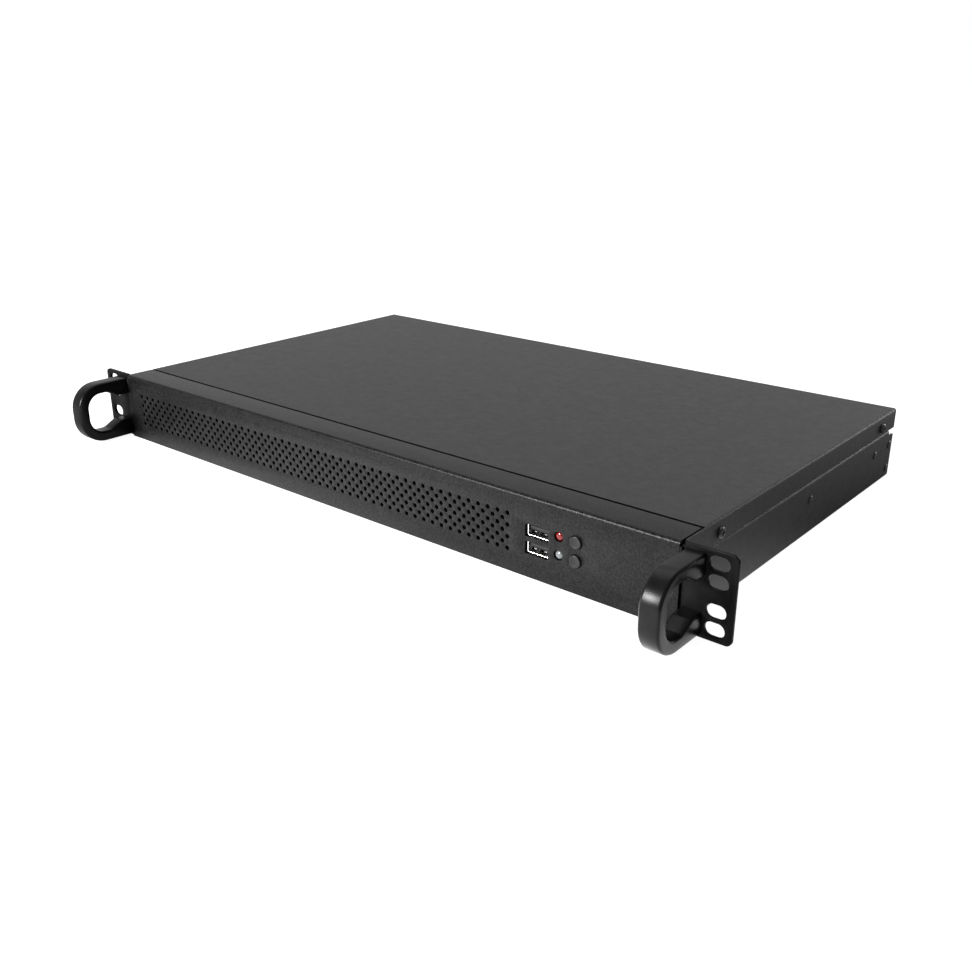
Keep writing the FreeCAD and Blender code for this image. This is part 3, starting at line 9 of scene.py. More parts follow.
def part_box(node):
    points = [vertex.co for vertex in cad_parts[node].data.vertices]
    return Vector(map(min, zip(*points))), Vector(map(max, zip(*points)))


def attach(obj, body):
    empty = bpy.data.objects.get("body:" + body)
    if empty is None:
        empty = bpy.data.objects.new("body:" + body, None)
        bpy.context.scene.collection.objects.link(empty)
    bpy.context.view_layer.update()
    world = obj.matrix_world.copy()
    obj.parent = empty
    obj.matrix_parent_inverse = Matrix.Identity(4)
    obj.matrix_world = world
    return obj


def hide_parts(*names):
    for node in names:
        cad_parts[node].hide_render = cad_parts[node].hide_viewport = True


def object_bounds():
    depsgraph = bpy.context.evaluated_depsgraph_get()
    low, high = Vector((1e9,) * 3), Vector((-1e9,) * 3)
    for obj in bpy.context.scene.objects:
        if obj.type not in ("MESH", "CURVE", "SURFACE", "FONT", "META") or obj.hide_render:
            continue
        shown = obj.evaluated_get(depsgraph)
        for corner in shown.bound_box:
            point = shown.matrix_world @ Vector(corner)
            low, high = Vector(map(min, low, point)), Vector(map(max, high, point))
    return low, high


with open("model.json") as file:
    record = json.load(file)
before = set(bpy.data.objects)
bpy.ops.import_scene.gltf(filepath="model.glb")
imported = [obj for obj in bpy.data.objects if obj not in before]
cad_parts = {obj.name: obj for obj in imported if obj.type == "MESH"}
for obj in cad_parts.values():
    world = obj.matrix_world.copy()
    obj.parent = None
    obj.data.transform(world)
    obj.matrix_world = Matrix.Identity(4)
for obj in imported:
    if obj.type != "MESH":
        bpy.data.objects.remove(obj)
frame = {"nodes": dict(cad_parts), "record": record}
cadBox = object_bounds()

mm = 0.001
nodes = frame["nodes"]
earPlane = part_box("ear_right")[0].y / mm      # the ears' front face, where Y is zero below
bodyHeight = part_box("top_cover")[1].z / mm
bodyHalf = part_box("top_cover")[1].x / mm
print("frame loaded:", len(nodes), "nodes")


# Shared shapes, all in millimetres, with Y counted from the ears' front face


def unit(vectors):
    # each vector at length one
    return vectors / np.linalg.norm(vectors, axis=-1, keepdims=True)


def turns(count):
    # equal steps of angle round a full turn
    return np.arange(count) * 2 * math.pi / count


def roundedLoop(corners, steps=6):
    # each corner (u, v, radius) becomes an arc: its centre lies on the bisector, and the
    # spoke to the first tangent point turns in equal steps to the second one
    points = []
    spots = np.array(corners, float)
    for before, here, after in zip(np.roll(spots, 1, 0), spots, np.roll(spots, -1, 0)):
        if here[2] == 0:
            points.append(here[None, :2])
            continue
        back, ahead = unit((before - here)[:2]), unit((after - here)[:2])
        half = math.acos(np.clip(back @ ahead, -1, 1)) / 2
        centre = here[:2] + unit(back + ahead) * here[2] / math.sin(half)
        spoke = here[:2] + back * here[2] / math.tan(half) - centre
        side = math.copysign(1, ahead[0] * back[1] - ahead[1] * back[0])
        turn = np.linspace(0, side * (math.pi - 2 * half), steps + 1)
        cos, sin = np.cos(turn), np.sin(turn)
        points.append(centre + np.stack([spoke[0] * cos - spoke[1] * sin,
                                         spoke[0] * sin + spoke[1] * cos], 1))
    points = np.concatenate(points)
    return points[np.linalg.norm(points - np.roll(points, 1, 0), axis=1) > 1e-6]


def circleLoop(u, v, radius, sides=28):
    # points at equal angles round a centre
    angle = turns(sides)
    return np.stack([u + radius * np.cos(angle), v + radius * np.sin(angle)], 1)


def boxLoop(low, high, radius=0.0, steps=4):
    # a rectangle between two corners, with rounded corners if it has a radius
    return roundedLoop([(u, v, radius) for u, v in (low, (high[0], low[1]), high,
                                                    (low[0], high[1]))], steps)


def about(x, z, size, radius=0.0, steps=4):
    # a rounded rectangle round a point
    return boxLoop((x - size[0] / 2, z - size[1] / 2), (x + size[0] / 2, z + size[1] / 2),
                   radius, steps)


def upright(x, half, low, high, radius):
    # a rounded rectangle between two heights
    return boxLoop((x - half, low), (x + half, high), radius)


def twofold(right, x=0.0, z=0.0, steps=4):
    # a loop round a point, whose left half mirrors the corners of its right half
    return roundedLoop([(x + u, z + v, radius) for u, v, radius in right]
                       + [(x - u, z + v, radius) for u, v, radius in right[::-1]], steps)


def turnedArea(loop):
    # twice the signed area: the sum of the cross products of neighbouring points
    after = np.roll(loop, -1, 0)
    return float(np.sum(loop[:, 0] * after[:, 1] - loop[:, 1] * after[:, 0]))


def inset(loop, distance):
    # each point moves along its mitre, so that both edges beside it move by the distance
    along = unit(np.roll(loop, -1, 0) - loop)
    normal = np.stack([along[:, 1], -along[:, 0]], 1)
    before = np.roll(normal, 1, 0)
    mitre = (normal + before) / (1 + np.sum(normal * before, 1, keepdims=True))
    return loop - mitre * distance


def onPlane(points, level, plane):
    # lifts flat points to a level of the xy, xz or yz plane
    u, v = points.T
    level = np.full(len(u), level)
    return np.stack({"xy": (u, v, level), "xz": (u, level, v), "yz": (level, u, v)}[plane], 1)


def plate(outer, holes, low, high, plane="xz", rim=0.0, rimSteps=2, holeRim=None):
    # a flat sheet between two levels: its edges are rounded by rings that follow a quarter
    # circle, and the two faces are filled between the innermost rings
    flip = plane == "xz"
    angles = np.linspace(0, math.pi / 2, rimSteps + 1) if rim else [math.pi / 2]
    verts, faces, marks, lowIndex, highIndex, count, start = [], [], [], [], [], 0, 0
    for index, loop in enumerate([outer, *holes]):
        if (turnedArea(loop) > 0) != (index == 0):
            loop = loop[::-1]
        edge = rim if index == 0 or holeRim is None else holeRim
        levels = [(edge * (1 - math.sin(a)), low + edge * (1 - math.cos(a))) for a in angles]
        levels += [(back, low + high - level) for back, level in levels[::-1]]
        verts += [onPlane(inset(loop, back) if back else loop, level, plane)
                  for back, level in levels]
        size = len(loop)
        n = np.arange(size)
        after = (n + 1) % size
        quad = np.stack([n, after, size + after, size + n], 1)
        for near in range(count, count + size * (len(levels) - 1), size):
            faces += (near + (quad[:, ::-1] if flip else quad)).tolist()
        lowIndex.append(count + n)
        count += size * len(levels)
        highIndex.append(count - size + n)
        marks.append((start + (n if index == 0 else n[::-1])).tolist())
        start += size
    verts = np.concatenate(verts)
    lowIndex, highIndex = np.concatenate(lowIndex), np.concatenate(highIndex)
    spots = verts[lowIndex][:, {"xy": [0, 1], "xz": [0, 2], "yz": [1, 2]}[plane]]
    filled = delaunay_2d_cdt([Vector(p) for p in spots], [], marks, 1, 1e-6)
    source = [group[0] for group in filled[3]]
    tris = np.array([[source[i] for i in tri] for tri, group in zip(filled[2], filled[5])
                     if list(group) == [0]])
    turned = tris[:, ::-1]
    faces += lowIndex[tris if flip else turned].tolist()
    return verts, faces + highIndex[turned if flip else tris].tolist()


def folded(path, thickness, inside=0.5, steps=6):
    # a bent sheet's outline: the path and its copy one thickness to the left, mitred at each
    # bend, with arcs about the same centres
    path = np.array(path, float)
    along = unit(np.diff(path, axis=0))
    normal = np.stack([-along[:, 1], along[:, 0]], 1)
    before, after = normal[:-1], normal[1:]
    mitre = (before + after) * thickness / (1 + np.sum(before * after, 1, keepdims=True))
    left = before[:, 0] * after[:, 1] - before[:, 1] * after[:, 0] > 0
    ends = path[[0, -1]] + normal[[0, -1]] * thickness
    near = np.column_stack([path, [0, *np.where(left, inside + thickness, inside), 0]])
    far = np.column_stack([np.vstack([ends[:1], path[1:-1] + mitre, ends[1:]]),
                           [0, *np.where(left, inside, inside + thickness), 0]])
    return roundedLoop(np.vstack([near, far[::-1]]), steps)


def ringed(grid, capped=False):
    # a surface through a grid of points, whose rows are closed rings, one after another, and
    # which may have a flat face at each end
    rings, size = grid.shape[:2]
    r, n = np.arange(rings - 1)[:, None] * size, np.arange(size)
    after = (n + 1) % size
    quads = np.stack([r + n, r + after, r + size + after, r + size + n], -1)
    faces = quads.reshape(-1, 4).tolist()
    if capped:
        faces += [n[::-1].tolist(), (n + (rings - 1) * size).tolist()]
    return grid.reshape(-1, 3), faces


def spokes(axis, angle):
    # vectors at the given angles round an axis
    across = np.array([0, 0, 1.0]) if abs(axis[2]) < 0.5 else np.array([1.0, 0, 0])
    return np.outer(np.cos(angle), across) + np.outer(np.sin(angle), np.cross(axis, across))


def lathe(centre, direction, profile, sides=28, sunk=0.0):
    # a turned solid: the profile (distance along the axis, radius) goes round the axis in
    # equal steps. Sunk takes a depth from each point.
    axis, profile = np.array(direction, float), np.array(profile, float)
    depth = profile[:, :1] - sunk + np.zeros((1, sides))
    return ringed(np.array(centre, float) + depth[..., None] * axis
                  + profile[:, None, 1:] * spokes(axis, turns(sides)), True)


def hoop(centre, direction, radius, wire, sides=56, around=8):
    # a ring of round wire: a circle of wire sections, with the first one repeated at the end
    axis, angle = np.array(direction, float), turns(around)
    out = radius + wire * np.cos(angle)
    return ringed(np.array(centre, float)
                  + spokes(axis, np.append(turns(sides), 0))[:, None] * out[:, None]
                  + axis * (wire * np.sin(angle))[:, None])


def crossScrew(seat, outward, head, rise, shank, length):
    # a pan head with a cross-shaped recess: the points of its top rings that lie within
    # either arm are sunk, and the shank runs on behind the seat
    form = [(1.0, 0.0), (1.0, 0.45), (0.94, 0.78), (0.80, 0.97), (0.62, 1.0), (0.60, 1.0),
            (0.48, 1.01), (0.36, 1.02), (0.24, 1.02), (0.12, 1.02)]
    profile = np.array([(-length, shank), (0, shank)]
                       + [(rise * up, head * out) for out, up in form])
    up, out = profile[:, :1], profile[:, 1:]
    angle = turns(32)
    offset = out * np.minimum(abs(np.cos(angle)), abs(np.sin(angle)))
    inside = (offset < head * 0.13) & (out < head * 0.61) & (up > rise * 0.9)
    return lathe(seat, outward, profile, 32, inside * rise * 0.75)


def placed(name, data):
    # an object of the data, in the scene
    thing = bpy.data.objects.new(name, data)
    bpy.context.scene.collection.objects.link(thing)
    return thing


def piece(name, parts, finish, stand=None, body="chassis", smooth=35):
    # puts several shapes into one object that rides on its body
    points, faces, count = [], [], 0
    for verts, sides in parts:
        points.append(verts)
        faces += [[count + i for i in side] for side in sides]
        count += len(verts)
    mesh = bpy.data.meshes.new(name)
    mesh.from_pydata(((np.concatenate(points) + [0, earPlane, 0]) * mm).tolist(), [], faces)
    mesh.update()
    mesh.polygons.foreach_set("use_smooth", np.ones(len(mesh.polygons), bool))
    mesh.set_sharp_from_angle(angle=math.radians(smooth))
    thing = placed(name, mesh)
    mesh.materials.append(finishes[finish])
    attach(thing, body)
    if stand:
        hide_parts(stand)
    return thing


def wired(tree, made, inputs):
    # each input takes a constant, or a link from another socket
    for key, value in inputs.items():
        if isinstance(value, bpy.types.NodeSocket):
            tree.links.new(value, made.inputs[key])
        else:
            made.inputs[key].default_value = value
    return made


def shaderNode(tree, kind, inputs=None, **settings):
    # a node with its settings made and its inputs wired
    made = tree.nodes.new("ShaderNode" + kind)
    for name, value in settings.items():
        setattr(made, name, value)
    return wired(tree, made, inputs or {})


# Finishes: one for each material slot of the record. Two tones, each a grey or a colour, are
# mixed by a broad noise, a fine noise (its scale, height and strength) lifts the surface, and
# a third one varies how rough it is.
finishData = {
    "case_paint": dict(tones=(0.004, 0.021), rough=(0.50, 0.62), specular=0.40,
                       grain=(1100, 0.00016, 0.9), fleck=0.6),
    "panel_paint": dict(tones=(0.001, 0.012), rough=(0.28, 0.36), specular=0.09,
                        grain=(1100, 0.00016, 0.9), fleck=0.8),
    # painted shade: a dead black for the strip in the seam, in place of the groove's shadow
    "seam_shade_black": dict(tones=(0.001, 0.002), rough=(0.9, 0.98), specular=0.0,
                      grain=(900, 0.0001, 0.5)),
    "ear_paint": dict(tones=(0.002, 0.005), rough=(0.38, 0.48), specular=0.05,
                      grain=(1300, 0.00008, 0.6)),
    "handle_paint": dict(tones=(0.003, 0.005), rough=(0.25, 0.31), specular=0.12,
                         grain=(1200, 0.00004, 0.5)),
    "black_screws": dict(tones=((0.012, 0.012, 0.014), (0.02, 0.02, 0.022)),
                         rough=(0.28, 0.4), specular=0.6),
    "zinc": dict(tones=((0.55, 0.56, 0.58), (0.68, 0.68, 0.69)), rough=(0.25, 0.38),
                 metal=1.0, grain=(1600, 0.00002, 0.4)),
    "bare_steel": dict(tones=((0.50, 0.51, 0.53), (0.62, 0.63, 0.65)), rough=(0.30, 0.45),
                       metal=1.0, grain=(700, 0.00002, 0.4), stretch=(0.15, 1, 1)),
    "brass_posts": dict(tones=((0.62, 0.46, 0.20), (0.76, 0.60, 0.31)), rough=(0.22, 0.34),
                        metal=1.0),
    "port_shell": dict(tones=((0.66, 0.67, 0.68), (0.78, 0.78, 0.79)), rough=(0.18, 0.3),
                       metal=1.0, grain=(900, 0.00002, 0.3), stretch=(0.3, 1, 1)),
    "port_plastic": dict(tones=((0.006, 0.006, 0.007), (0.011, 0.011, 0.012)),
                         rough=(0.45, 0.55), specular=0.2, grain=(2000, 0.00003, 0.4)),
    "circuit_board": dict(tones=((0.010, 0.075, 0.035), (0.016, 0.11, 0.052)),
                          rough=(0.25, 0.36), grain=(900, 0.00004, 0.4)),
    "chip_metal": dict(tones=((0.60, 0.60, 0.61), (0.70, 0.70, 0.71)), rough=(0.22, 0.3),
                       metal=1.0, grain=(1200, 0.00001, 0.3), stretch=(1, 0.1, 1)),
    "sink_metal": dict(tones=((0.68, 0.69, 0.70), (0.80, 0.81, 0.82)), rough=(0.30, 0.42),
                       metal=1.0, grain=(800, 0.00003, 0.4), stretch=(1, 0.08, 1)),
    "drive_metal": dict(tones=((0.30, 0.31, 0.33), (0.38, 0.39, 0.41)), rough=(0.36, 0.46),
                        metal=1.0, grain=(1400, 0.00003, 0.4)),
    "clear_lamp": dict(tones=((0.11, 0.12, 0.125), (0.20, 0.21, 0.215)), rough=(0.08, 0.14),
                       specular=0.3, clear=0.3, grain=(600, 0.00001, 0.2)),
    "red_lamp": dict(tones=((0.11, 0.002, 0.002), (0.16, 0.003, 0.003)), rough=(0.10, 0.16),
                     specular=0.35, clear=0.05, grain=(600, 0.00001, 0.2)),
    "button_plastic": dict(tones=(0.006, 0.009), rough=(0.34, 0.42), specular=0.2,
                           grain=(1600, 0.00002, 0.3)),
    "rocker_plastic": dict(tones=((0.010, 0.010, 0.011), (0.014, 0.014, 0.015)),
                           rough=(0.2, 0.28), grain=(1600, 0.00002, 0.3)),
    "fan_plastic": dict(tones=((0.012, 0.012, 0.013), (0.018, 0.018, 0.019)),
                        rough=(0.4, 0.5), specular=0.4, grain=(1800, 0.00003, 0.4)),
    "white_mark": dict(tones=(0.62, 0.72), rough=(0.4, 0.5), grain=(1600, 0.00001, 0.2)),
    "wire_red": dict(tones=((0.50, 0.012, 0.010), (0.60, 0.020, 0.015)), rough=(0.32, 0.42)),
    "wire_green": dict(tones=((0.012, 0.30, 0.06), (0.02, 0.38, 0.09)), rough=(0.32, 0.42)),
    "wire_white": dict(tones=((0.66, 0.70, 0.78), (0.76, 0.80, 0.86)), rough=(0.32, 0.42)),
    "wire_black": dict(tones=((0.010, 0.010, 0.011), (0.02, 0.02, 0.021)), rough=(0.4, 0.5),
                       grain=(1500, 0.00003, 0.4))}


def finish(name, tones, rough, grain=(1500, 0.00002, 0.3), specular=0.5, metal=0.0, clear=0.0,
           stretch=(1, 1, 1), fleck=0.0):
    # fleck is the fine noise's share of the colour
    made = bpy.data.materials.new(name)
    made.use_nodes = True
    tree = made.node_tree
    place = shaderNode(tree, "TexCoord").outputs["Object"]
    spot = shaderNode(tree, "Mapping", {"Vector": place, "Scale": stretch}).outputs["Vector"]

    def noise(scale, detail):
        # a noise over the stretched place
        return shaderNode(tree, "TexNoise", {"Vector": spot, "Scale": scale,
                                             "Detail": detail}).outputs["Fac"]

    fine = noise(grain[0], 2)
    shade = shaderNode(tree, "Mix", {"Factor": fleck, "A": noise(120, 5), "B": fine})
    ramp = shaderNode(tree, "ValToRGB", {"Fac": shade.outputs["Result"]})
    for stop, share, tone in zip(ramp.color_ramp.elements, (0.35, 0.65), tones):
        stop.position = share
        stop.color = (*(tone if isinstance(tone, tuple) else (tone,) * 3), 1)
    spread = shaderNode(tree, "MapRange", {"Value": noise(260, 3), "To Min": rough[0],
                                           "To Max": rough[1]})
    bump = shaderNode(tree, "Bump", {"Height": fine, "Distance": grain[1],
                                     "Strength": grain[2]})
    wired(tree, tree.nodes["Principled BSDF"], {
        "Base Color": ramp.outputs["Color"], "Roughness": spread.outputs["Result"],
        "Normal": bump.outputs["Normal"], "Metallic": metal, "Specular IOR Level": specular,
        "Transmission Weight": clear})
    return made


finishes = {name: finish(name, **data) for name, data in finishData.items()}
for row in frame["record"]["subparts"]:
    mesh = nodes[row["node"]].data
    mesh.materials.clear()
    mesh.materials.append(finishes[row["material_slot"]])
print("finishes made:", len(finishes))


# Front panel: a perforated face that folds back into a strip, with a channel and a ledge
# behind it. A round opening is its radius and its number of sides.
port = dict(x=136.0, z=(16.2, 25.4), size=(13.2, 5.9), wall=0.4, front=0.1, back=13.0,
            tongue=(11.1, 1.85), tongueFront=1.0, lampX=149.1, buttonX=159.2,
            smallZ=(17.4, 27.1))
front = dict(sheet=1.5, joint=38.0, side=214.8, strip=213.6, relief=2.6, ledgeHalf=199.0,
             back=17.5, step=1.0, ledge=9.0, pitch=3.16, columns=101, rows=7, fieldRight=117.8,
             hole=(1.25, 14), port=(14.2, 6.8), lamp=(2.65, 32), button=(3.5, 40))


def frontPanel(f, p):
    # holes where column and row add up to an even number, in a sheet that narrows at the joint
    column, row = np.meshgrid(np.arange(f["columns"]), np.arange(f["rows"]))
    staggered = (column + row) % 2 == 0
    x = f["fieldRight"] - column[staggered] * f["pitch"]
    z = bodyHeight / 2 + (row[staggered] - (f["rows"] - 1) / 2) * f["pitch"]
    holes = [circleLoop(*spot, *f["hole"]) for spot in zip(x, z)]
    holes += [about(p["x"], z, f["port"], 0.6) for z in p["z"]]
    holes += [circleLoop(p[kind + "X"], z, *f[kind]) for kind in ("lamp", "button")
              for z in p["smallZ"]]
    top, under = bodyHeight - f["relief"], bodyHeight - f["step"]
    side, strip, joint, sheet = f["side"], f["strip"], f["joint"], f["sheet"]
    outline = np.array([(-side, 0), (side, 0), (side, top), (strip, top), (strip, joint),
                        (-strip, joint), (-strip, top), (-side, top)])
    back, half, floor = f["back"], f["ledgeHalf"], under - 2 * sheet
    fold = folded([(back, bodyHeight), (-sheet, bodyHeight), (-sheet, joint - 0.1)], sheet)
    lip = boxLoop((back - 1, floor), (back - 0.02, bodyHeight - 0.5))
    channel = boxLoop((back - 1, floor), (back + 3, floor + sheet), 0.2)
    ledge = boxLoop((back + 1.7, floor + 0.5), (back + f["ledge"], under), 0.3)
    return [plate(outline, holes, -sheet, 0, "xz", 0.5, 2, 0.1),
            plate(fold, [], -strip, strip, "yz")] + [
                plate(loop, [], -half, half, "yz") for loop in (lip, channel, ledge)]


piece("perforated_front", frontPanel(front, port), "panel_paint", "front_panel")

# A matt black strip fills the joint between the fold and the cover: painted shade, standing in for
# the shadow deep in the groove
seamShade = dict(front=17.52, rear=19.27, low=41.9, sunk=0.06, half=199.0)
seamShadeLoop = boxLoop((seamShade["front"], seamShade["low"]), (seamShade["rear"], bodyHeight - seamShade["sunk"]))
piece("seam_shadow_strip", [plate(seamShadeLoop, [], -seamShade["half"], seamShade["half"], "yz")], "seam_shade_black")
print("front panel made")


# Top cover: a plate with a skirt down each side
cover = dict(sheet=1.0, skirt=31.7, front=19.3, skirtFront=2.8, rear=256.0, notch=0.5)


def topCover(c):
    # a folded outline runs from the seam to the rear, and the skirt's edge on to the front
    skirt, inner, bend = c["skirt"], bodyHalf - c["sheet"], 0.5 + c["sheet"]
    path = [(bodyHalf, skirt), (bodyHalf, bodyHeight), (-bodyHalf, bodyHeight),
            (-bodyHalf, skirt)]
    angle = np.linspace(0, math.asin((bend - c["notch"]) / bend), 5)
    curve = np.stack([bodyHalf - bend + bend * np.cos(angle),
                      bodyHeight - bend + bend * np.sin(angle)], 1)
    tip = np.vstack([[(inner, skirt), (bodyHalf, skirt)], curve,
                     [(inner, bodyHeight - c["notch"])]])
    return [plate(folded(path, c["sheet"], 0.5, 8), [], c["front"], c["rear"])] + [
        plate(tip * [sign, 1], [], c["skirtFront"], c["front"]) for sign in (1, -1)]


piece("cover_sheet", topCover(cover), "case_paint", "top_cover", "cover")


# Tray: floor, walls that step in under the cover, and a lip behind the front panel
tray = dict(sheet=1.2, front=2.8, coverFront=19.3, notchFront=249.0, rear=256.0, notchLow=27.5,
            joggleLow=30.4, joggleHigh=31.5, lip=213.5, fold=6.5, panelUnder=41.8,
            coverUnder=1.0, tongue=201.0, tongueHigh=9.0, tongueDepth=11.8)


def traySheet(t):
    # the right half's path and its mirror, folded, and each carried along its own span
    under = bodyHeight - t["coverUnder"]
    wall = [(bodyHalf, 0), (bodyHalf, t["joggleLow"]), (t["lip"], t["joggleHigh"])]
    spans = [(t["front"], t["coverFront"], wall + [(t["lip"], t["panelUnder"])]),
             (t["coverFront"], t["notchFront"],
              wall + [(t["lip"], under), (t["lip"] - t["fold"], under)]),
             (t["notchFront"], t["rear"], [(bodyHalf, 0), (bodyHalf, t["notchLow"])])]
    lip = folded([(0, t["tongueHigh"]), (0, 0), (t["tongueDepth"], 0)], t["sheet"])
    return [plate(folded([(-x, z) for x, z in right[::-1]] + right, t["sheet"]), [], start, end)
            for start, end, right in spans] + [plate(lip, [], -t["tongue"], t["tongue"], "yz")]


piece("tray_sheet", traySheet(tray), "case_paint", "base_tray")
print("case made")


# Ears: a slotted plate with a flange inside the wall
ear = dict(sheet=2.0, inner=213.8, edge=241.3, corner=3.0, wingTop=41.8, gap=0.3, slotX=232.55,
           slot=(10.0, 7.0), spacings=(31.75, 14.0), flange=26.0, flangeZ=(3.0, 29.0))


def earPlate(e, sign):
    # slots at equal distances above and below the middle, and all of it mirrored by the sign
    inner, edge, wing, sheet = e["inner"], e["edge"], bodyHalf + e["gap"], e["sheet"]
    outline = roundedLoop([(inner, 0, 0), (edge, 0, e["corner"]),
                           (edge, bodyHeight, e["corner"]), (wing, bodyHeight, 0),
                           (wing, e["wingTop"], 0), (inner, e["wingTop"], 0)], 8)
    slots = [about(e["slotX"], bodyHeight / 2 + way * spacing / 2, e["slot"],
                   e["slot"][1] / 2, 10) for spacing in e["spacings"] for way in (-1, 1)]
    flange = folded([(inner - sheet, e["flange"]), (inner - sheet, 0), (inner + 0.5, 0)], sheet)
    mirror = np.array([sign, 1])
    return [plate(outline * mirror, [slot * mirror for slot in slots], 0, sheet, "xz", 0.3),
            plate(flange * mirror, [], *e["flangeZ"], "xy")]


for side, sign in (("left", -1), ("right", 1)):
    piece("slotted_ear_" + side, earPlate(ear, sign), "ear_paint", "ear_" + side)


# Handles: a D-shaped grip whose legs thicken where the screws go in
grip = dict(reach=37.5, low=1.4, high=41.2, width=10.6, gap=0.7, round=16.5, thick=6.8,
            foot=11.0, footLength=8.5, blend=8.0, sink=1.2, edge=1.4)


def handleGrip(g, sign):
    # a D-shaped loop, carried across the grip's width
    low, high, thick, foot, sink = g["low"], g["high"], g["thick"], g["foot"], g["sink"]
    front, leg = -g["reach"], -g["footLength"]
    thin, bend = leg - g["blend"], g["round"] - thick
    loop = roundedLoop([
        (sink, low, 0), (sink, low + foot, 0), (leg, low + foot, 3), (thin, low + thick, 6),
        (front + thick, low + thick, bend), (front + thick, high - thick, bend),
        (thin, high - thick, 6), (leg, high - foot, 3), (sink, high - foot, 0),
        (sink, high, 0), (front, high, g["round"]), (front, low, g["round"])], 12)
    start = bodyHalf + g["gap"]
    span = sorted([sign * start, sign * (start + g["width"])])
    return [plate(loop, [], *span, "yz", g["edge"], 5)]


for side, sign in (("left", -1), ("right", 1)):
    piece("pull_handle_" + side, handleGrip(grip, sign), "handle_paint", "handle_" + side,
          smooth=50)
print("ears and handles made")


# Fasteners of the case: cross-head screws and set rivets. A screw is its head's radius and
# rise, and its shank's radius and length.
fastener = dict(screwY=(33.4, 234.1), screwZ=36.4, screw=(2.9, 1.7, 1.5, 5.0),
                rivetZ=(6.4, 21.6), rivetRear=251.5, bracketY=(136.8, 228.7), bracketZ=20.6,
                gripX=221.0, gripY=2.0, gripZ=(6.9, 35.7), grip=(3.8, 1.7, 2.0, 12.0),
                rivet=[(-3.4, 1.5), (0, 1.5), (0, 2.4), (0.3, 2.35), (0.55, 1.9), (0.72, 1.2),
                       (0.8, 0.4)])


def coverScrews(f):
    # one on each side at each place
    return [crossScrew((sign * bodyHalf, y, f["screwZ"]), (sign, 0, 0), *f["screw"])
            for sign in (-1, 1) for y in f["screwY"]]


def wallRivets(f):
    # a turned profile at each place, and two more for the drive's bracket on one side
    places = [(sign, f["rivetRear"], z) for sign in (-1, 1) for z in f["rivetZ"]]
    places += [(1, y, f["bracketZ"]) for y in f["bracketY"]]
    return [lathe((sign * bodyHalf, y, z), (sign, 0, 0), f["rivet"], 24)
            for sign, y, z in places]


def gripScrews(f):
    # one at each height, behind each ear
    return [crossScrew((sign * f["gripX"], f["gripY"], z), (0, 1, 0), *f["grip"])
            for sign in (-1, 1) for z in f["gripZ"]]


piece("cover_screw_heads", coverScrews(fastener), "black_screws", "cover_screws", "cover")
piece("wall_rivets", wallRivets(fastener), "black_screws", "side_rivets")
piece("grip_screws", gripScrews(fastener), "black_screws", "handle_screws")


# Front ports: shells with springs, tongues with contacts, lamps and buttons


def portShell(p, z):
    # a thin tube with a closed back, and two bent springs on its floor
    x, wall, back, (wide, high) = p["x"], p["wall"], p["back"], p["size"]
    outer = about(x, z, p["size"], 0.7)
    inner = about(x, z, (wide - 2 * wall, high - 2 * wall), 0.35)
    low = z - high / 2 + wall
    leaf = np.array([(2.0, low + 1.15), (2.3, low + 1.5), (3.2, low + 1.5), (6.6, low + 0.2),
                     (6.6, low), (3.2, low + 1.2)])
    return [plate(outer, [inner], p["front"], back - 0.5, "xz", 0.04, 3, 0.33),
            plate(outer, [], back - 0.5, back)] + [
                plate(leaf, [], x + side - 0.7, x + side + 0.7, "yz") for side in (-3.1, 3.1)]


def portTongue(p, z):
    # a tongue under the shell's top, and the block that carries it
    wide, thick = p["tongue"]
    top = z + p["size"][1] / 2 - p["wall"] - 0.8
    return [plate(upright(p["x"], wide / 2, top - thick, top, 0.35), [], p["tongueFront"],
                  p["back"] - 0.6, "xz", 0.25),
            plate(upright(p["x"], 6.1, z - 2.5, z + 2.5, 0.1), [], 9.4, 12.4)]


def portContacts(p, z):
    # four strips on the tongue's lower face
    top = z + p["size"][1] / 2 - p["wall"] - 0.8 - p["tongue"][1]
    return [plate(upright(p["x"] + x, 0.5, top - 0.12, top + 0.1, 0.08), [],
                  p["tongueFront"] + 0.6, 9.0, "xz", 0.05, 1) for x in (-3.5, -1, 1, 3.5)]


def lampShape(x, z):
    # a straight body behind the panel, and a dome whose height is part of a circle
    dome = [(4.7 + 1.6 * math.sin(a), 2.45 * math.cos(a) ** 0.8)
            for a in np.linspace(0, 1.45, 8)[1:]]
    return [lathe((x, 5.0, z), (0, -1, 0), [(0, 2.35), (0.4, 2.45), (4.7, 2.45)] + dome, 36)]


def lampLegs(x, z):
    # two square wires, at equal distances from the axis
    return [plate(about(x + side, z, (0.5, 0.5), 0.08), [], 5.0, 13.0)
            for side in (-1.27, 1.27)]


def buttonShape(x, z):
    # a stem, a collar behind the panel and a cap with a rounded rim and a dished face
    profile = [(0, 1.5), (9.0, 1.5), (9.0, 4.1), (10.2, 4.1), (10.2, 3.3), (12.45, 3.3),
               (12.75, 3.22), (12.93, 3.05), (13.0, 2.8), (12.99, 2.55), (12.86, 2.2),
               (12.74, 1.5), (12.7, 0.6)]
    return [lathe((x, 10.5, z), (0, -1, 0), profile, 48)]


for name, shape, finishName, stand in (("port_shells", portShell, "port_shell", "usb_shells"),
                                       ("port_tongues", portTongue, "port_plastic", "usb_tongues"),
                                       ("port_contacts", portContacts, "brass_posts", None)):
    piece(name, [part for z in port["z"] for part in shape(port, z)], finishName, stand)
for name, finishName, z in zip(("drive_lamp", "power_lamp"), ("clear_lamp", "red_lamp"),
                               port["smallZ"]):
    piece(name + "_dome", lampShape(port["lampX"], z), finishName, name)
    piece(name + "_legs", lampLegs(port["lampX"], z), "zinc")
for name, z in zip(("reset_button", "power_button"), port["smallZ"]):
    piece(name + "_cap", buttonShape(port["buttonX"], z), "button_plastic", name, name)
print("front ports, lamps and buttons made")


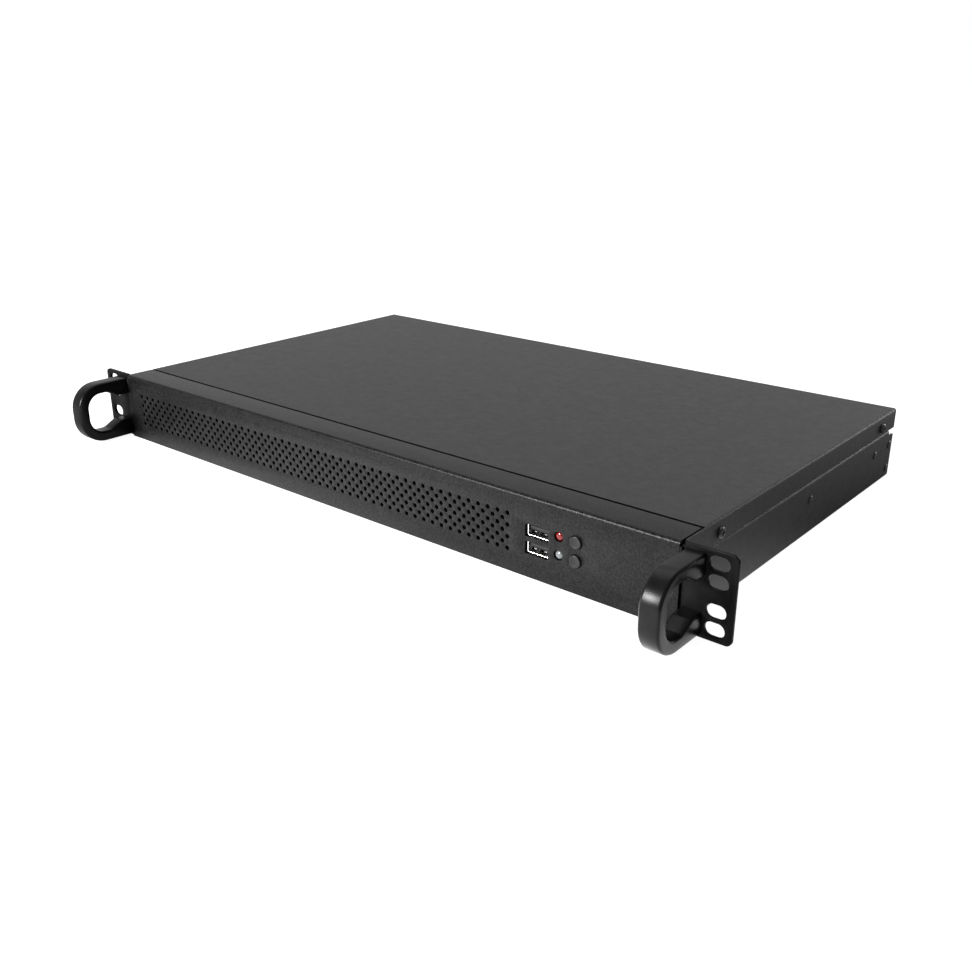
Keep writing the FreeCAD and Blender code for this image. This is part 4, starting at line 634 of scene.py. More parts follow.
# Rear wall: a sheet with a folded foot, flanges and tabs, and openings for all that it carries
rear = dict(sheet=1.2, half=206.7, low=1.2, high=42.6, bend=1.7, foot=8.0, flange=10.0,
            side=208.5, wall=213.8, wallHigh=25.5, tab=213.7, tabZ=(32.2, 42.3),
            supply=(-205.3, -123.2), boxes=(((-96.0, 5.2), (62.8, 39.0)),
                                            ((96.0, 25.0), (200.0, 37.8))),
            vents=9, ventX=100.0, ventPitch=12.0, ventHalf=2.5, ventZ=(6.5, 20.5), hole=1.7,
            screws=((-201.4, 5.4), (-201.4, 37.5), (-127.1, 37.5), (205.0, 31.4)),
            fan=(-179.5, 21.45), fanHole=18.0, hoops=(4.5, 9.0, 13.5), wire=0.55)
inlet = dict(x=-143.0, z=14.6, flange=(31.0, 22.6), body=(27.0, 19.8), mouth=(24.4, 16.6),
             corner=5.0, deep=16.0, flangeDeep=2.0, play=0.6)
rocker = dict(z=33.1, bezel=(19.6, 12.6), rise=1.4, well=(16.0, 9.0), deep=7.0, pivot=2.0,
              reach=7.0, face=1.8, lift=1.1, foot=-3.4, tilt=9.0, play=0.2, pin=1.2)
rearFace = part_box("rear_panel")[1].y / mm - earPlane
rearInner = rearFace - rear["sheet"]


def bored(outer, mouths, back, bottom, face, rim=0.15, plane="xz"):
    # a block whose mouths go in from its face as far as the bottom
    return [plate(outer, mouths, bottom, face, plane, rim), plate(outer, [], back, bottom, plane)]


def rearWall(r):
    # the right half's corners going up, the supply's notch, and the same corners mirrored
    base, top, edge = r["low"] + r["bend"], r["high"] - r["bend"], r["wall"] - r["bend"]
    start, end = r["supply"]
    right = [(edge, base), (edge, r["wallHigh"]), (r["side"], r["wallHigh"]),
             (r["side"], r["tabZ"][0]), (r["tab"], r["tabZ"][0]), (r["tab"], r["tabZ"][1]),
             (r["half"], r["tabZ"][1]), (r["half"], top)]
    notch = [(end, top), (end, r["high"]), (start, r["high"]), (start, top)]
    outline = np.array(right + notch + [(-x, z) for x, z in right[::-1]])
    wide, high = np.array(inlet["flange"]) / 2 + inlet["play"]
    slim, tall = np.array(rocker["bezel"]) / 2 + inlet["play"]
    shoulder = inlet["z"] + high
    stepped = [(wide, base + 0.3, 0.8), (wide, shoulder, 0.8), (slim, shoulder, 0),
               (slim, rocker["z"] + tall, 0.8)]
    holes = [boxLoop(*box, 0.6) for box in r["boxes"]] + [twofold(stepped, inlet["x"])]
    half = r["ventHalf"]
    holes += [boxLoop((x - half, r["ventZ"][0]), (x + half, r["ventZ"][1]), half - 0.01, 7)
              for x in r["ventX"] + r["ventPitch"] * np.arange(r["vents"])]
    holes += [circleLoop(x, z, r["hole"], 24) for x, z in r["screws"]]
    holes.append(circleLoop(*r["fan"], r["fanHole"], 64))
    foot, flange = rearFace - r["foot"], rearFace - r["flange"]
    bends = [([(foot, r["low"]), (rearFace, r["low"]), (rearFace, base)], -r["side"], r["side"])]
    bends += [([(rearFace, top), (rearFace, r["high"]), (flange, r["high"])], x0, x1)
              for x0, x1 in ((-r["half"], start), (end, r["half"]))]
    side = folded([(r["wall"], flange), (r["wall"], rearFace), (edge, rearFace)], r["sheet"])
    return [plate(outline, holes, rearInner, rearFace, "xz", 0.12)] + [
        plate(folded(path, r["sheet"]), [], x0, x1, "yz") for path, x0, x1 in bends] + [
            plate(side * [sign, 1], [], base, r["wallHigh"], "xy") for sign in (-1, 1)]


def fanGuard(r):
    # rings of wire, with four spokes that end in the hole's edge
    centre = np.array([r["fan"][0], rearInner + 0.55, r["fan"][1]])
    parts = [hoop(centre, (0, 1, 0), radius, r["wire"]) for radius in r["hoops"]]
    reach, thick = r["fanHole"] + 0.4 - r["hoops"][0], r["wire"] * 0.9
    for angle in math.pi / 4 + turns(4):
        way = np.array([math.cos(angle), 0, math.sin(angle)])
        parts.append(lathe(centre + way * (r["hoops"][0] - 0.3), way, [
            (0, 0.2), (0.15, thick), (reach, thick), (reach + 0.2, 0.2)], 10))
    return parts


def inletShape(i):
    # a flange outside, a body inside, and a socket with two slanted corners
    x, z, corner = i["x"], i["z"], i["corner"]
    wide, high = np.array(i["mouth"]) / 2
    mouth = twofold([(wide, -high, 0.6), (wide, high - corner, 1.2),
                     (wide - corner, high, 1.2)], x, z)
    reach = rearInner + i["flangeDeep"]
    bottom = reach - i["deep"]
    return [plate(about(x, z, i["flange"], 1.6, 6), [mouth], rearInner, reach, "xz", 0.45, 3,
                  0.3)] + bored(about(x, z, i["body"], 1.0), [mouth], bottom - 2, bottom,
                                rearInner, 0)


def bezelShape(r, i):
    # a rim outside and a deep well inside, round the same opening
    x, z, bottom = i["x"], r["z"], rearInner - r["deep"]
    well = about(x, z, r["well"], 0.4)
    body = about(x, z, (r["well"][0] + 1.4, r["well"][1] + 1.6), 0.6)
    return [plate(about(x, z, r["bezel"], 1.2, 6), [well], rearInner, rearInner + r["rise"],
                  "xz", 0.35, 3, 0.2)] + bored(body, [well], bottom - 3, bottom, rearInner, 0)


def tipped(part, r, i):
    # turns a shape drawn about the pivot by the rocker's tilt, and moves it to its place
    (x, y, z), tilt = part[0].T, math.radians(r["tilt"])
    cos, sin = math.cos(tilt), math.sin(tilt)
    turned = np.stack([x * cos - y * sin, x * sin + y * cos, z], 1)
    return turned + [i["x"], rearInner - r["pivot"], r["z"]], part[1]


def rockerFace(r, x):
    # the face rises with the square of the distance from its middle
    return r["face"] + r["lift"] * (x / r["reach"]) ** 2


def rockerShape(r, i):
    # the curved face and a slimmer foot, carried along the pivot, and the pivot's pin
    reach, foot = r["reach"], r["foot"]
    x = np.linspace(reach - 0.25, 0.25 - reach, 17)
    curve = np.stack([x, rockerFace(r, x)], 1)
    edge = curve[0, 1] - 0.4
    ends = [(-reach, edge), (-reach * 0.55, foot), (reach * 0.55, foot), (reach, edge)]
    half = r["well"][1] / 2 - r["play"]
    pin = lathe((0, 0, -half - 0.4), (0, 0, 1), [(0, r["pin"]), (2 * half + 0.8, r["pin"])], 20)
    body = plate(np.vstack([curve, ends]), [], -half, half, "xy", 0.12)
    return [tipped(part, r, i) for part in (body, pin)]


def rockerMarks(r, i):
    # a bar for on and a ring for off, laid on the curved face
    marks = [plate(about(-3.9, 0, (0.7, 3.6), 0.2), [], -0.3, 0.03),
             plate(circleLoop(3.9, 0, 1.75, 32), [circleLoop(3.9, 0, 1.2, 32)], -0.3, 0.03)]
    return [tipped((points + np.outer(rockerFace(r, points[:, 0]), [0, 1, 0]), faces), r, i)
            for points, faces in marks]


piece("rear_wall", rearWall(rear), "case_paint", "rear_panel")
piece("fan_guard", fanGuard(rear), "zinc")
piece("inlet_socket", inletShape(inlet), "port_plastic", "power_inlet")
piece("switch_bezel", bezelShape(rocker, inlet), "port_plastic", "rocker_bezel")
piece("switch_rocker", rockerShape(rocker, inlet), "rocker_plastic", "psu_rocker",
      "supply_switch")
piece("switch_marks", rockerMarks(rocker, inlet), "white_mark", body="supply_switch")
print("rear wall, inlet and switch made")


# Rear ports: shells round dark inserts with gilt contacts
rearPort = dict(reach=1.6, stackX=(14.0, 36.0), stackHalf=8.5, stackHigh=36.5, stackDeep=21.0,
                networkZ=(25.3, 33.7), usbZ=(10.3, 17.5), usb=(6.6, 5.4), deep=12.4,
                displayX=-16.0, displayHalf=8.7, displayHigh=22.3, displayZ=(10.3, 16.3),
                display=(7.1, 4.6), audioX=53.0, audioHalf=6.0, audioHigh=33.1,
                audioZ=(15.1, 27.1), serial=(-56.0, 15.4), serialSize=(31.0, 12.6), post=12.5)
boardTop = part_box("main_board")[1].z / mm
portFace = rearInner + rearPort["reach"]


def stackShells(p):
    # a block for each stack, with one network mouth above two others
    wide, high = p["usb"]
    return [part for x in p["stackX"] for part in bored(
        upright(x, p["stackHalf"], boardTop, p["stackHigh"], 0.5),
        [upright(x, 6, *p["networkZ"], 0.4)] + [upright(x, wide, z, z + high, 0.6)
                                                for z in p["usbZ"]],
        portFace - p["stackDeep"], portFace - p["deep"], portFace)]


def displayShells(p):
    # mouths whose lower corners are slanted, one above the other
    x, (wide, high) = p["displayX"], p["display"]
    mouths = [twofold([(wide - 1.6, 0, 0.4), (wide, 1.5, 0.4), (wide, high, 0.4)], x, z, 3)
              for z in p["displayZ"]]
    return bored(upright(x, p["displayHalf"], boardTop, p["displayHigh"], 0.5), mouths,
                 portFace - 14, portFace - 9, portFace)


def socketInserts(p):
    # stepped linings of the network sockets, tongues of the other ports
    low, high = p["networkZ"]
    deep = portFace - p["deep"]
    notch = [(5, low + 0.8, 0), (5, high - 2.6, 0), (3, high - 2.6, 0), (3, high - 0.9, 0)]
    parts = []
    for x in p["stackX"]:
        parts.append(plate(upright(x, 5.9, low + 0.1, high - 0.1, 0.3), [twofold(notch, x)],
                           deep, portFace - 0.5))
        parts += [plate(upright(x, 5.6, z + 2.9, z + 4.7, 0.3), [], deep - 0.3, portFace - 1,
                        "xz", 0.2) for z in p["usbZ"]]
    return parts + [plate(upright(p["displayX"], 5.8, z + 1.8, z + 2.9, 0.25), [],
                          portFace - 9.3, portFace - 1, "xz", 0.15) for z in p["displayZ"]]


def portLeaves(p):
    # slanted springs in the network sockets and flat pads under the tongues
    low = p["networkZ"][0] + 0.8
    leaf = np.array([(portFace - 2.5, low), (portFace - 2.5, low + 0.3),
                     (portFace - 9.0, low + 2.6), (portFace - 9.0, low + 2.3)])
    parts = []
    for x in p["stackX"]:
        parts += [plate(leaf, [], x + side - 0.22, x + side + 0.22, "yz")
                  for side in np.arange(8) * 1.02 - 3.57]
        parts += [plate(about(x + side, z + 2.9, (1.1, 0.2)), [], portFace - 10, portFace - 1.8)
                  for z in p["usbZ"] for side in (-3.5, -1, 1, 3.5)]
    return parts + [plate(about(p["displayX"] + side, z + 1.8, (0.4, 0.16)), [], portFace - 8,
                          portFace - 1.5) for z in p["displayZ"] for side in np.arange(9) - 4.0]


def audioBlock(p):
    # a block with a round mouth at each height
    return bored(upright(p["audioX"], p["audioHalf"], boardTop, p["audioHigh"], 0.5),
                 [circleLoop(p["audioX"], z, 1.8) for z in p["audioZ"]],
                 portFace - 14, portFace - 11.5, portFace)


def audioRings(p):
    # a flat ring round each mouth
    return [plate(circleLoop(p["audioX"], z, 3.1, 36), [circleLoop(p["audioX"], z, 1.8)],
                  portFace - 0.3, portFace + 0.3, "xz", 0.12) for z in p["audioZ"]]


def serialShell(p):
    # a flange, a shell that is wider at the top than at the bottom, and two hexagonal posts
    x, z = p["serial"]
    shell, mouth = (twofold([(low, -half, radius), (high, half, radius)], x, z) for
                    low, high, half, radius in ((8.4, 9.6, 3.6, 1.3), (7.6, 8.7, 3.0, 1.0)))
    start = rearInner - 2
    return [plate(about(x, z, p["serialSize"], 0.6), [], rearInner - 13, rearInner - 0.8, "xz",
                  0.2), plate(shell, [mouth], start, portFace, "xz", 0.25)] + [
        plate(circleLoop(x + side, z, 2.4, 6), [circleLoop(x + side, z, 1.25, 20)], start,
              portFace, "xz", 0.2) for side in (-p["post"], p["post"])]


def serialPins(p):
    # five pins above four, rounded at their ends
    row = [(side, 1.4) for side in np.arange(5) * 2.77 - 5.54]
    row += [(side, -1.4) for side in np.arange(4) * 2.77 - 4.155]
    x, z = p["serial"]
    return [lathe((x + side, rearInner - 0.9, z + up), (0, 1, 0),
                  [(0, 0.5), (1.7, 0.5), (1.95, 0.35), (2.05, 0.15)], 12) for side, up in row]


for name, shape, finishName, stand in (
        ("stack_shells", stackShells, "port_shell", "lan_usb_stacks"),
        ("display_shells", displayShells, "port_shell", "display_ports"),
        ("socket_inserts", socketInserts, "port_plastic", None),
        ("socket_leaves", portLeaves, "brass_posts", None),
        ("audio_block", audioBlock, "port_plastic", "audio_jacks"),
        ("audio_rings", audioRings, "port_shell", None),
        ("serial_shell", serialShell, "port_shell", "serial_port"),
        ("serial_pins", serialPins, "brass_posts", None)):
    piece(name, shape(rearPort), finishName, stand)
print("rear ports made")


# Fans: a frame with two flanges and a round duct, and a rotor with twisted blades
smallFan = dict(way=(0, 1, 0), duct=18.0, hub=9.5, blades=5)
fans = {"case_fan_frame_left": dict(smallFan, body="left_case_fan"),
        "case_fan_frame_right": dict(smallFan, body="right_case_fan"),
        "cpu_fan_frame": dict(body="processor_fan", way=(0, 0, -1), duct=28.5, hub=14.0,
                              blades=7),
        "psu_fan_frame": dict(smallFan, body="supply_fan")}
fanStyle = dict(flange=3.0, inset=4.0, hole=1.7, corner=2.5, strut=1.8, base=2.0, play=0.8,
                front=1.3, blade=0.95, sweep=0.35, span=0.98, camber=0.7)


def fanPlace(name, way):
    # start and depth of a fan, and a turn that takes its own axes to the frame's
    low, high = (np.array(corner) / mm - [0, earPlane, 0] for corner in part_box(name))
    depth = abs((high - low) @ way)
    axes = np.array([[1, 0, 0], np.cross(way, [1, 0, 0]), way])
    return (low + high) / 2 - way * depth / 2, depth, (high - low)[0], axes


def fanFrame(fan, style, depth, size):
    # square flanges with a tube between them, a hub, and three struts turned round the axis
    half, hub, flange, base = size / 2, fan["hub"], style["flange"], depth - style["base"]
    reach = half - style["inset"]
    holes = [circleLoop(x, y, style["hole"], 20) for x in (-reach, reach) for y in (-reach, reach)]
    duct = circleLoop(0, 0, fan["duct"], 64)
    slim = 2 * flange > depth - 6
    levels = [(0, depth)] if slim else [(0, flange), (depth - flange, depth)]
    parts = [plate(about(0, 0, (size, size), style["corner"], 6), [duct, *holes], low, high,
                   "xy", 0.3) for low, high in levels]
    if not slim:
        parts.append(plate(circleLoop(0, 0, half - 0.05, 64), [duct], flange, depth - flange,
                           "xy"))
    parts.append(lathe((0, 0, base), (0, 0, 1), [(0, hub), (1.5, hub), (1.85, hub - 0.15),
                                                 (2.0, hub - 0.5)], 48))
    strut = style["strut"] / 2
    points, faces = plate(boxLoop((hub - 1, -strut), (fan["duct"] + 0.4, strut), 0.3), [], base,
                          depth - 0.1, "xy", 0.2)
    for angle in np.radians([90, 210, 330]):
        cos, sin = math.cos(angle), math.sin(angle)
        parts.append((points @ [[cos, sin, 0], [-sin, cos, 0], [0, 0, 1]], faces))
    return parts


def fanBlade(fan, style, end, turn):
    # a thin wing on a grid of radius and chord: its angle grows along the chord and with the
    # radius, its height grows along the chord, and it is thickest in the middle
    share, s = np.meshgrid(np.linspace(0, 1, 9), np.linspace(0, 1, 9), indexing="ij")
    root = fan["hub"] * 0.97
    radius = root + share * (fan["duct"] - style["play"] - root)
    angle = turn + style["sweep"] * share ** 1.5 + (s - 0.5) * style["span"] * 5 / fan["blades"]
    thick = style["blade"] * (1 - 0.8 * (2 * s - 1) ** 2) / 2
    height = style["front"] + 0.5 + s * (end - style["front"] - 1.3)
    height = height + style["camber"] * np.sin(math.pi * s) * 0.6
    x, y = radius * np.cos(angle), radius * np.sin(angle)
    lower, upper = (np.stack([x, y, height + side * thick], -1) for side in (-1, 1))
    return ringed(np.concatenate([lower, upper[:, ::-1]], 1), True)


def fanRotor(fan, style, depth):
    # a turned cup, and blades at equal angles round it
    hub, end = fan["hub"], depth - style["base"] - 0.2
    cup = [(0.9, hub * 0.2), (0.9, hub * 0.55), (0.5, hub * 0.6), (0.5, hub - 0.9),
           (0.72, hub - 0.35), (1.3, hub), (end, hub)]
    return [lathe((0, 0, 0), (0, 0, 1), cup, 48)] + [fanBlade(fan, style, end, turn)
                                                     for turn in turns(fan["blades"])]


for name, fan in fans.items():
    start, depth, size, axes = fanPlace(name, np.array(fan["way"], float))
    for stand, body, parts in (
            (name, "chassis", fanFrame(fan, fanStyle, depth, size)),
            (name.replace("frame", "rotor"), fan["body"], fanRotor(fan, fanStyle, depth))):
        piece(stand + "_shape", [(points @ axes + start, faces) for points, faces in parts],
              "fan_plastic", stand, body, 40)
print("fans made")


# Main board's parts: chokes, capacitors, connectors, chips and many small parts
boardParts = dict(chokeX=-78.5, capX=-69.0, rows=(133.0, 145.0, 157.0, 169.0), choke=(9.0, 9.0),
                  socket=((-97.0, 102.0), (-88.0, 154.0)), socketHigh=11.0, high=8.0,
                  used=(((20.0, 87.0), (45.0, 92.0)), ((48.0, 87.0), (56.0, 92.0)),
                        ((60.0, 94.0), (68.0, 102.0))),
                  spare=((-72.0, 90.5), (-50.0, 90.5)), spareSize=(16.0, 7.0), wall=1.0,
                  chips=((-40.0, 214.0, 9.0), (14.0, 222.0, 7.0), (52.0, 214.0, 7.0),
                         (-72.0, 112.0, 8.0)), chip=(-8.0, 120.0), chipSize=12.0,
                  cell=(-30.0, 98.0), holder=11.5,
                  zones=((-62, 60, 203, 231), (-84, -44, 100, 126), (27, 34, 124, 196),
                         (2, 30, 98, 118)), count=44, seed=11)


def boardBlocks(b):
    # each solid is a loop, its height and its rim, and stands on the board
    wide, deep = np.array(b["spareSize"]) - 2 * b["wall"]
    blocks = [(boxLoop(*b["socket"], 0.5), b["socketHigh"], 0.3)]
    blocks += [(boxLoop(*corners, 0.4), b["high"], 0.25) for corners in b["used"]]
    chips = [(about(x, y, (size, size), 0.3), 1.6, 0.2)
             for x, y, size in (*b["chips"], (*b["chip"], b["chipSize"]))]
    chokes = [(about(b["chokeX"], y, b["choke"], 1.5), 6, 0.7, 3) for y in b["rows"]]
    solid = [plate(loop, [], boardTop, boardTop + high, "xy", *rim)
             for loop, high, *rim in blocks + chips + chokes]
    wells = [part for x, y in b["spare"] for part in bored(
        about(x, y, b["spareSize"], 0.4), [about(x, y, (wide, deep), 0.3)], boardTop,
        boardTop + 1.5, boardTop + b["high"], 0.15, "xy")]
    return solid + wells + [lathe((*b["cell"], boardTop), (0, 0, 1), [
        (0, b["holder"]), (1.7, b["holder"]), (2.0, b["holder"] - 0.3)], 48)]


def boardMetal(b):
    # capacitors with a groove near the foot, the cell, and the pins of the spare headers
    can = [(0, 2.8), (0.9, 3.0), (1.2, 2.75), (1.5, 3.0), (6.4, 3.0), (6.8, 2.85), (7.0, 2.5)]
    cell = [(0, 10), (2.7, 10), (3.05, 9.85), (3.2, 9.5), (3.2, 8.6), (3.1, 8.4)]
    return [lathe((b["capX"], y, boardTop), (0, 0, 1), can) for y in b["rows"]] + [
        lathe((*b["cell"], boardTop + 1), (0, 0, 1), cell, 56)] + [
            plate(about(x + across, y + back, (0.64, 0.64)), [], boardTop + 1, boardTop + 7, "xy")
            for x, y in b["spare"] for across in np.arange(5) * 2.54 - 5.08
            for back in (-1.27, 1.27)]


def smallParts(b):
    # bricks at the points of loose rows: the corners of a unit box are scaled and moved
    draw = np.random.default_rng(b["seed"])
    corners = np.array([(x, y, z) for z in (0, 1) for x, y in ((-1, -1), (1, -1), (1, 1), (-1, 1))])
    sides = np.array([(3, 2, 1, 0), (4, 5, 6, 7), (0, 1, 5, 4), (1, 2, 6, 5), (2, 3, 7, 6),
                      (3, 0, 4, 7)])
    bodies, tips = [], []
    for x0, x1, y0, y1 in b["zones"]:
        across, back = np.meshgrid(np.arange(x0, x1, 3.2), np.arange(y0, y1, 3.4))
        spots = draw.permutation(np.stack([across.ravel(), back.ravel()], 1))
        spots = spots[:b["count"] * (x1 - x0) * (y1 - y0) // 1200]
        clear = [np.hypot(*(spots - b["cell"]).T) > 14, np.abs(spots - b["chip"]).max(1) > 8]
        clear += [np.abs(spots - (x, y)).max(1) > size / 2 + 1.5 for x, y, size in b["chips"]]
        spots = spots[np.all(clear, axis=0)]
        flat = draw.random(len(spots))[:, None] < 0.5
        size = np.where(flat, (0.95, 0.5), (0.5, 0.95))
        base = np.column_stack([spots, np.full(len(spots), boardTop)])[:, None]
        for store, long, wide, tall in ((tips, 1, 1, 0.62), (bodies, 0.62, 1.04, 0.72)):
            scale = size * np.where(flat, (long, wide), (wide, long))
            points = corners * np.insert(scale, 2, tall, 1)[:, None] + base
            faces = sides + 8 * np.arange(len(spots))[:, None, None]
            store.append((points.reshape(-1, 3), faces.reshape(-1, 4).tolist()))
    return bodies, tips


piece("board_blocks", boardBlocks(boardParts), "port_plastic", "board_parts")
piece("board_metal", boardMetal(boardParts), "chip_metal", "coin_cell")
bodies, tips = smallParts(boardParts)
piece("small_part_bodies", bodies, "wire_black")
piece("small_part_tips", tips, "zinc")


# Leads: soft lines through a few points, and the plugs and the grommet at their ends
leads = {
    "front_wire_red": dict(finish="wire_red", thick=0.0013, length=0.1354, route=[
        (0.1295, 0.0196, 0.024), (0.1295, 0.03443, 0.024), (0.026, 0.0506, 0.0131),
        (0.026, 0.087, 0.0131)]),
    "front_wire_green": dict(finish="wire_green", thick=0.0013, length=0.1321, route=[
        (0.1295, 0.0196, 0.026), (0.1295, 0.03443, 0.026), (0.029, 0.0531, 0.0131),
        (0.029, 0.087, 0.0131)]),
    "front_wire_white": dict(finish="wire_white", thick=0.0013, length=0.1288, route=[
        (0.1295, 0.0196, 0.028), (0.1295, 0.03443, 0.028), (0.032, 0.0556, 0.0131),
        (0.032, 0.087, 0.0131)]),
    "usb_lead": dict(finish="wire_black", thick=0.0044, length=0.1122, route=[
        (0.1295, 0.0196, 0.015), (0.1295, 0.04386, 0.015), (0.052, 0.06004, 0.0131),
        (0.052, 0.087, 0.0131)]),
    "drive_lead": dict(finish="wire_red", thick=0.0034, length=0.1084, route=[
        (0.166, 0.126, 0.0183), (0.166, 0.110, 0.0183), (0.100, 0.098, 0.0131),
        (0.068, 0.098, 0.0131)]),
    "power_lead": dict(finish="wire_black", thick=0.009, length=0.0728, route=[
        (-0.140, 0.1018, 0.024), (-0.140, 0.0838, 0.024), (-0.0925, 0.080, 0.0261),
        (-0.0925, 0.104, 0.0261)])}
bundle = dict(strand=0.00142, ring=0.0029, twist=1.4, strands=7, sides=12)
leadEnds = dict(grommet=(-140.0, 24.0), outside=(7.4, 48), inside=(4.7, 40),
                grommetY=(101.8, 104.8),
                powerPlug=(((-97.5, 20.1), (-87.5, 32.1)), (104.0, 152.0), 0.8),
                drivePlug=(((144.3, 16.6), (187.7, 20.0)), (126.0, 137.0), 0.5))


def leadLine(name, route):
    # a smooth spline whose control points are the route's
    line = bpy.data.curves.new(name, "CURVE")
    line.dimensions = "3D"
    line.resolution_u = 24
    spline = line.splines.new("NURBS")
    spline.points.add(len(route) - 1)
    spline.points.foreach_set("co", np.column_stack([route, np.ones(len(route))]).ravel())
    spline.order_u = 3
    spline.use_endpoint_u = True
    return placed(name, line)


def strandRing(line, b):
    # one strand in the middle and six round it, each a tube whose centre turns slowly round
    # the line, at right angles to it
    along = unit(np.gradient(line, axis=0))
    side = unit(np.cross(along, [0, 0, 1]))
    rise = np.cross(side, along)
    around = turns(b["sides"])[:, None]
    tube = b["strand"] * (np.cos(around) * side[:, None] - np.sin(around) * rise[:, None])
    parts = []
    for number in range(b["strands"]):
        turn = number * math.pi / 3 + b["twist"] * np.linspace(0, 1, len(line))[:, None]
        out = b["ring"] if number else 0.0
        centre = line + out * (np.cos(turn) * side + np.sin(turn) * rise)
        parts.append(ringed((centre[:, None] - tube) / mm - [0, earPlane, 0], True))
    return parts


def plugShape(corners, span, radius):
    # a moulded block with two grip ridges across its top
    (x0, z0), (x1, z1) = corners
    return [plate(boxLoop((x0, z0), (x1, z1 - 0.4), radius), [], *span, "xz", radius * 0.6)] + [
        plate(boxLoop((x0 + 1.5, y), (x1 - 1.5, y + 0.7), 0.3), [], z1 - 0.8, z1, "xy", 0.2)
        for y in (span[0] + 2.0, span[0] + 3.6)]


ring = plate(circleLoop(*leadEnds["grommet"], *leadEnds["outside"]),
             [circleLoop(*leadEnds["grommet"], *leadEnds["inside"])], *leadEnds["grommetY"],
             "xz", 0.8, 4)
plugs = {"power_lead": [piece("supply_grommet", [ring], "fan_plastic"),
                        piece("power_plug", plugShape(*leadEnds["powerPlug"]), "fan_plastic")],
         "drive_lead": [piece("drive_plug", plugShape(*leadEnds["drivePlug"]), "wire_black")]}
for name, lead in leads.items():
    route = np.array(lead["route"]) + [0, earPlane * mm, 0]
    thing = leadLine(name + "_line", route)
    if name == "power_lead":
        guide = bpy.data.meshes.new_from_object(thing)
        line = np.empty(len(guide.vertices) * 3)
        guide.vertices.foreach_get("co", line)
        line = line.reshape(-1, 3)
        bpy.data.objects.remove(thing)
        thing = piece(name + "_bundle", strandRing(line, bundle), lead["finish"], name)
    else:
        thing.data.bevel_depth = lead["thick"] / 2
        thing.data.bevel_resolution = 5
        thing.data.use_fill_caps = True
        thing.data.materials.append(finishes[lead["finish"]])
        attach(thing, "chassis")
        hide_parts(name)
print("leads made")


# Small machine screws: the fans', the board's, the rear wall's and the drive's
smallScrew = dict(head=2.5, rise=0.8, shank=1.5, fanReach=15.0, fanX=(-78.0, -30.0), fanZ=20.5,
                  fanSeat=63.2, boardX=(-93.65, 63.83), boardY=(243.84, 88.9),
                  driveX=(138.07, 199.79), driveY=(141.4, 218.0), driveSeat=13.6)


def smallScrews(s):
    # the same head at each place, with its direction and its shank's length
    places = [((x + side, s["fanSeat"], s["fanZ"] + side), (0, 1, 0), 8.0) for x in s["fanX"]
              for side in (-s["fanReach"], s["fanReach"])]
    places += [((x, y, boardTop), (0, 0, 1), 5.6) for x in s["boardX"] for y in s["boardY"]]
    places += [((x, rearFace, z), (0, 1, 0), 5.0) for x, z in rear["screws"]]
    places += [((x, y, s["driveSeat"]), (0, 0, -1), 3.6) for x in s["driveX"]
               for y in s["driveY"]]
    return [crossScrew(seat, way, s["head"], s["rise"], s["shank"], length)
            for seat, way, length in places]


piece("machine_screws", smallScrews(smallScrew), "zinc", "small_screws")
print("board parts and screws made")


# Camera, lamps and floor
shot = dict(place=(0.41371, -0.48162, 0.22961), azimuth=39.892, elevation=21.235, lens=38.6)
lamps = dict(front=dict(place=(-0.58, -1.45, 0.58), target=(0.05, -0.1, 0.02),
                        size=(0.50, 0.40), power=74),
             rear=dict(place=(0.45, 1.5, 0.16), target=(0, 0.1, 0.02), size=(0.9, 0.25), power=8),
             top=dict(place=(-0.2, 0.5, 1.7), target=(0, 0, 0.02), size=(1.6, 1.2), power=10))
light = dict(fill=0.22, floorTone=0.35, floorGlow=0.95, span=60.0,
             wallWay=(-0.6, 0.7, 0.36), wallSpread=(0.5, 1.2), wallLevels=(0.3, 0.95),
             poolPlace=(0.07, -0.26, 0), poolSpread=(0.12, 0.36), poolLevels=(0.05, 2.8))


def aimed(thing, place, ahead):
    # turns a thing's own -Z to the given direction
    thing.location = place
    thing.rotation_mode = "QUATERNION"
    thing.rotation_quaternion = ahead.to_track_quat("-Z", "Y")
    return thing


def camera(s):
    # the azimuth and the elevation give the direction
    eye = bpy.data.cameras.new("camera")
    eye.lens, eye.sensor_width = s["lens"], 36
    eye.clip_start, eye.clip_end = 0.01, 50
    turn, rise = math.radians(s["azimuth"]), math.radians(s["elevation"])
    ahead = (-math.sin(turn) * math.cos(rise), math.cos(turn) * math.cos(rise), -math.sin(rise))
    bpy.context.scene.camera = aimed(placed("camera", eye), s["place"], Vector(ahead))


def softLamp(name, place, target, size, power):
    # a rectangle of light that faces its target
    data = bpy.data.lights.new(name, "AREA")
    data.shape = "RECTANGLE"
    data.size, data.size_y = size
    data.energy = power
    return aimed(placed(name, data), place, Vector(target) - Vector(place))


def combined(tree, operation, first, second):
    # one value worked out from two, each of them a socket or a number
    return shaderNode(tree, "Math", {0: first, 1: second}, operation=operation).outputs[0]


def rayKind(tree, *kinds):
    # one for a ray of any of the named kinds, and zero for the others
    path = shaderNode(tree, "LightPath").outputs
    level = path[kinds[0]]
    for kind in kinds[1:]:
        level = combined(tree, "MAXIMUM", level, path[kind])
    return level


def faded(tree, source, centre, near, far, low, high):
    # a level that falls smoothly from high within the near distance of a point to low beyond
    # the far one
    gap = shaderNode(tree, "VectorMath", {0: source, 1: centre}, operation="DISTANCE")
    return shaderNode(tree, "MapRange", {
        "Value": gap.outputs["Value"], "From Min": near, "From Max": far, "To Min": high,
        "To Max": low}, interpolation_type="SMOOTHSTEP").outputs["Result"]


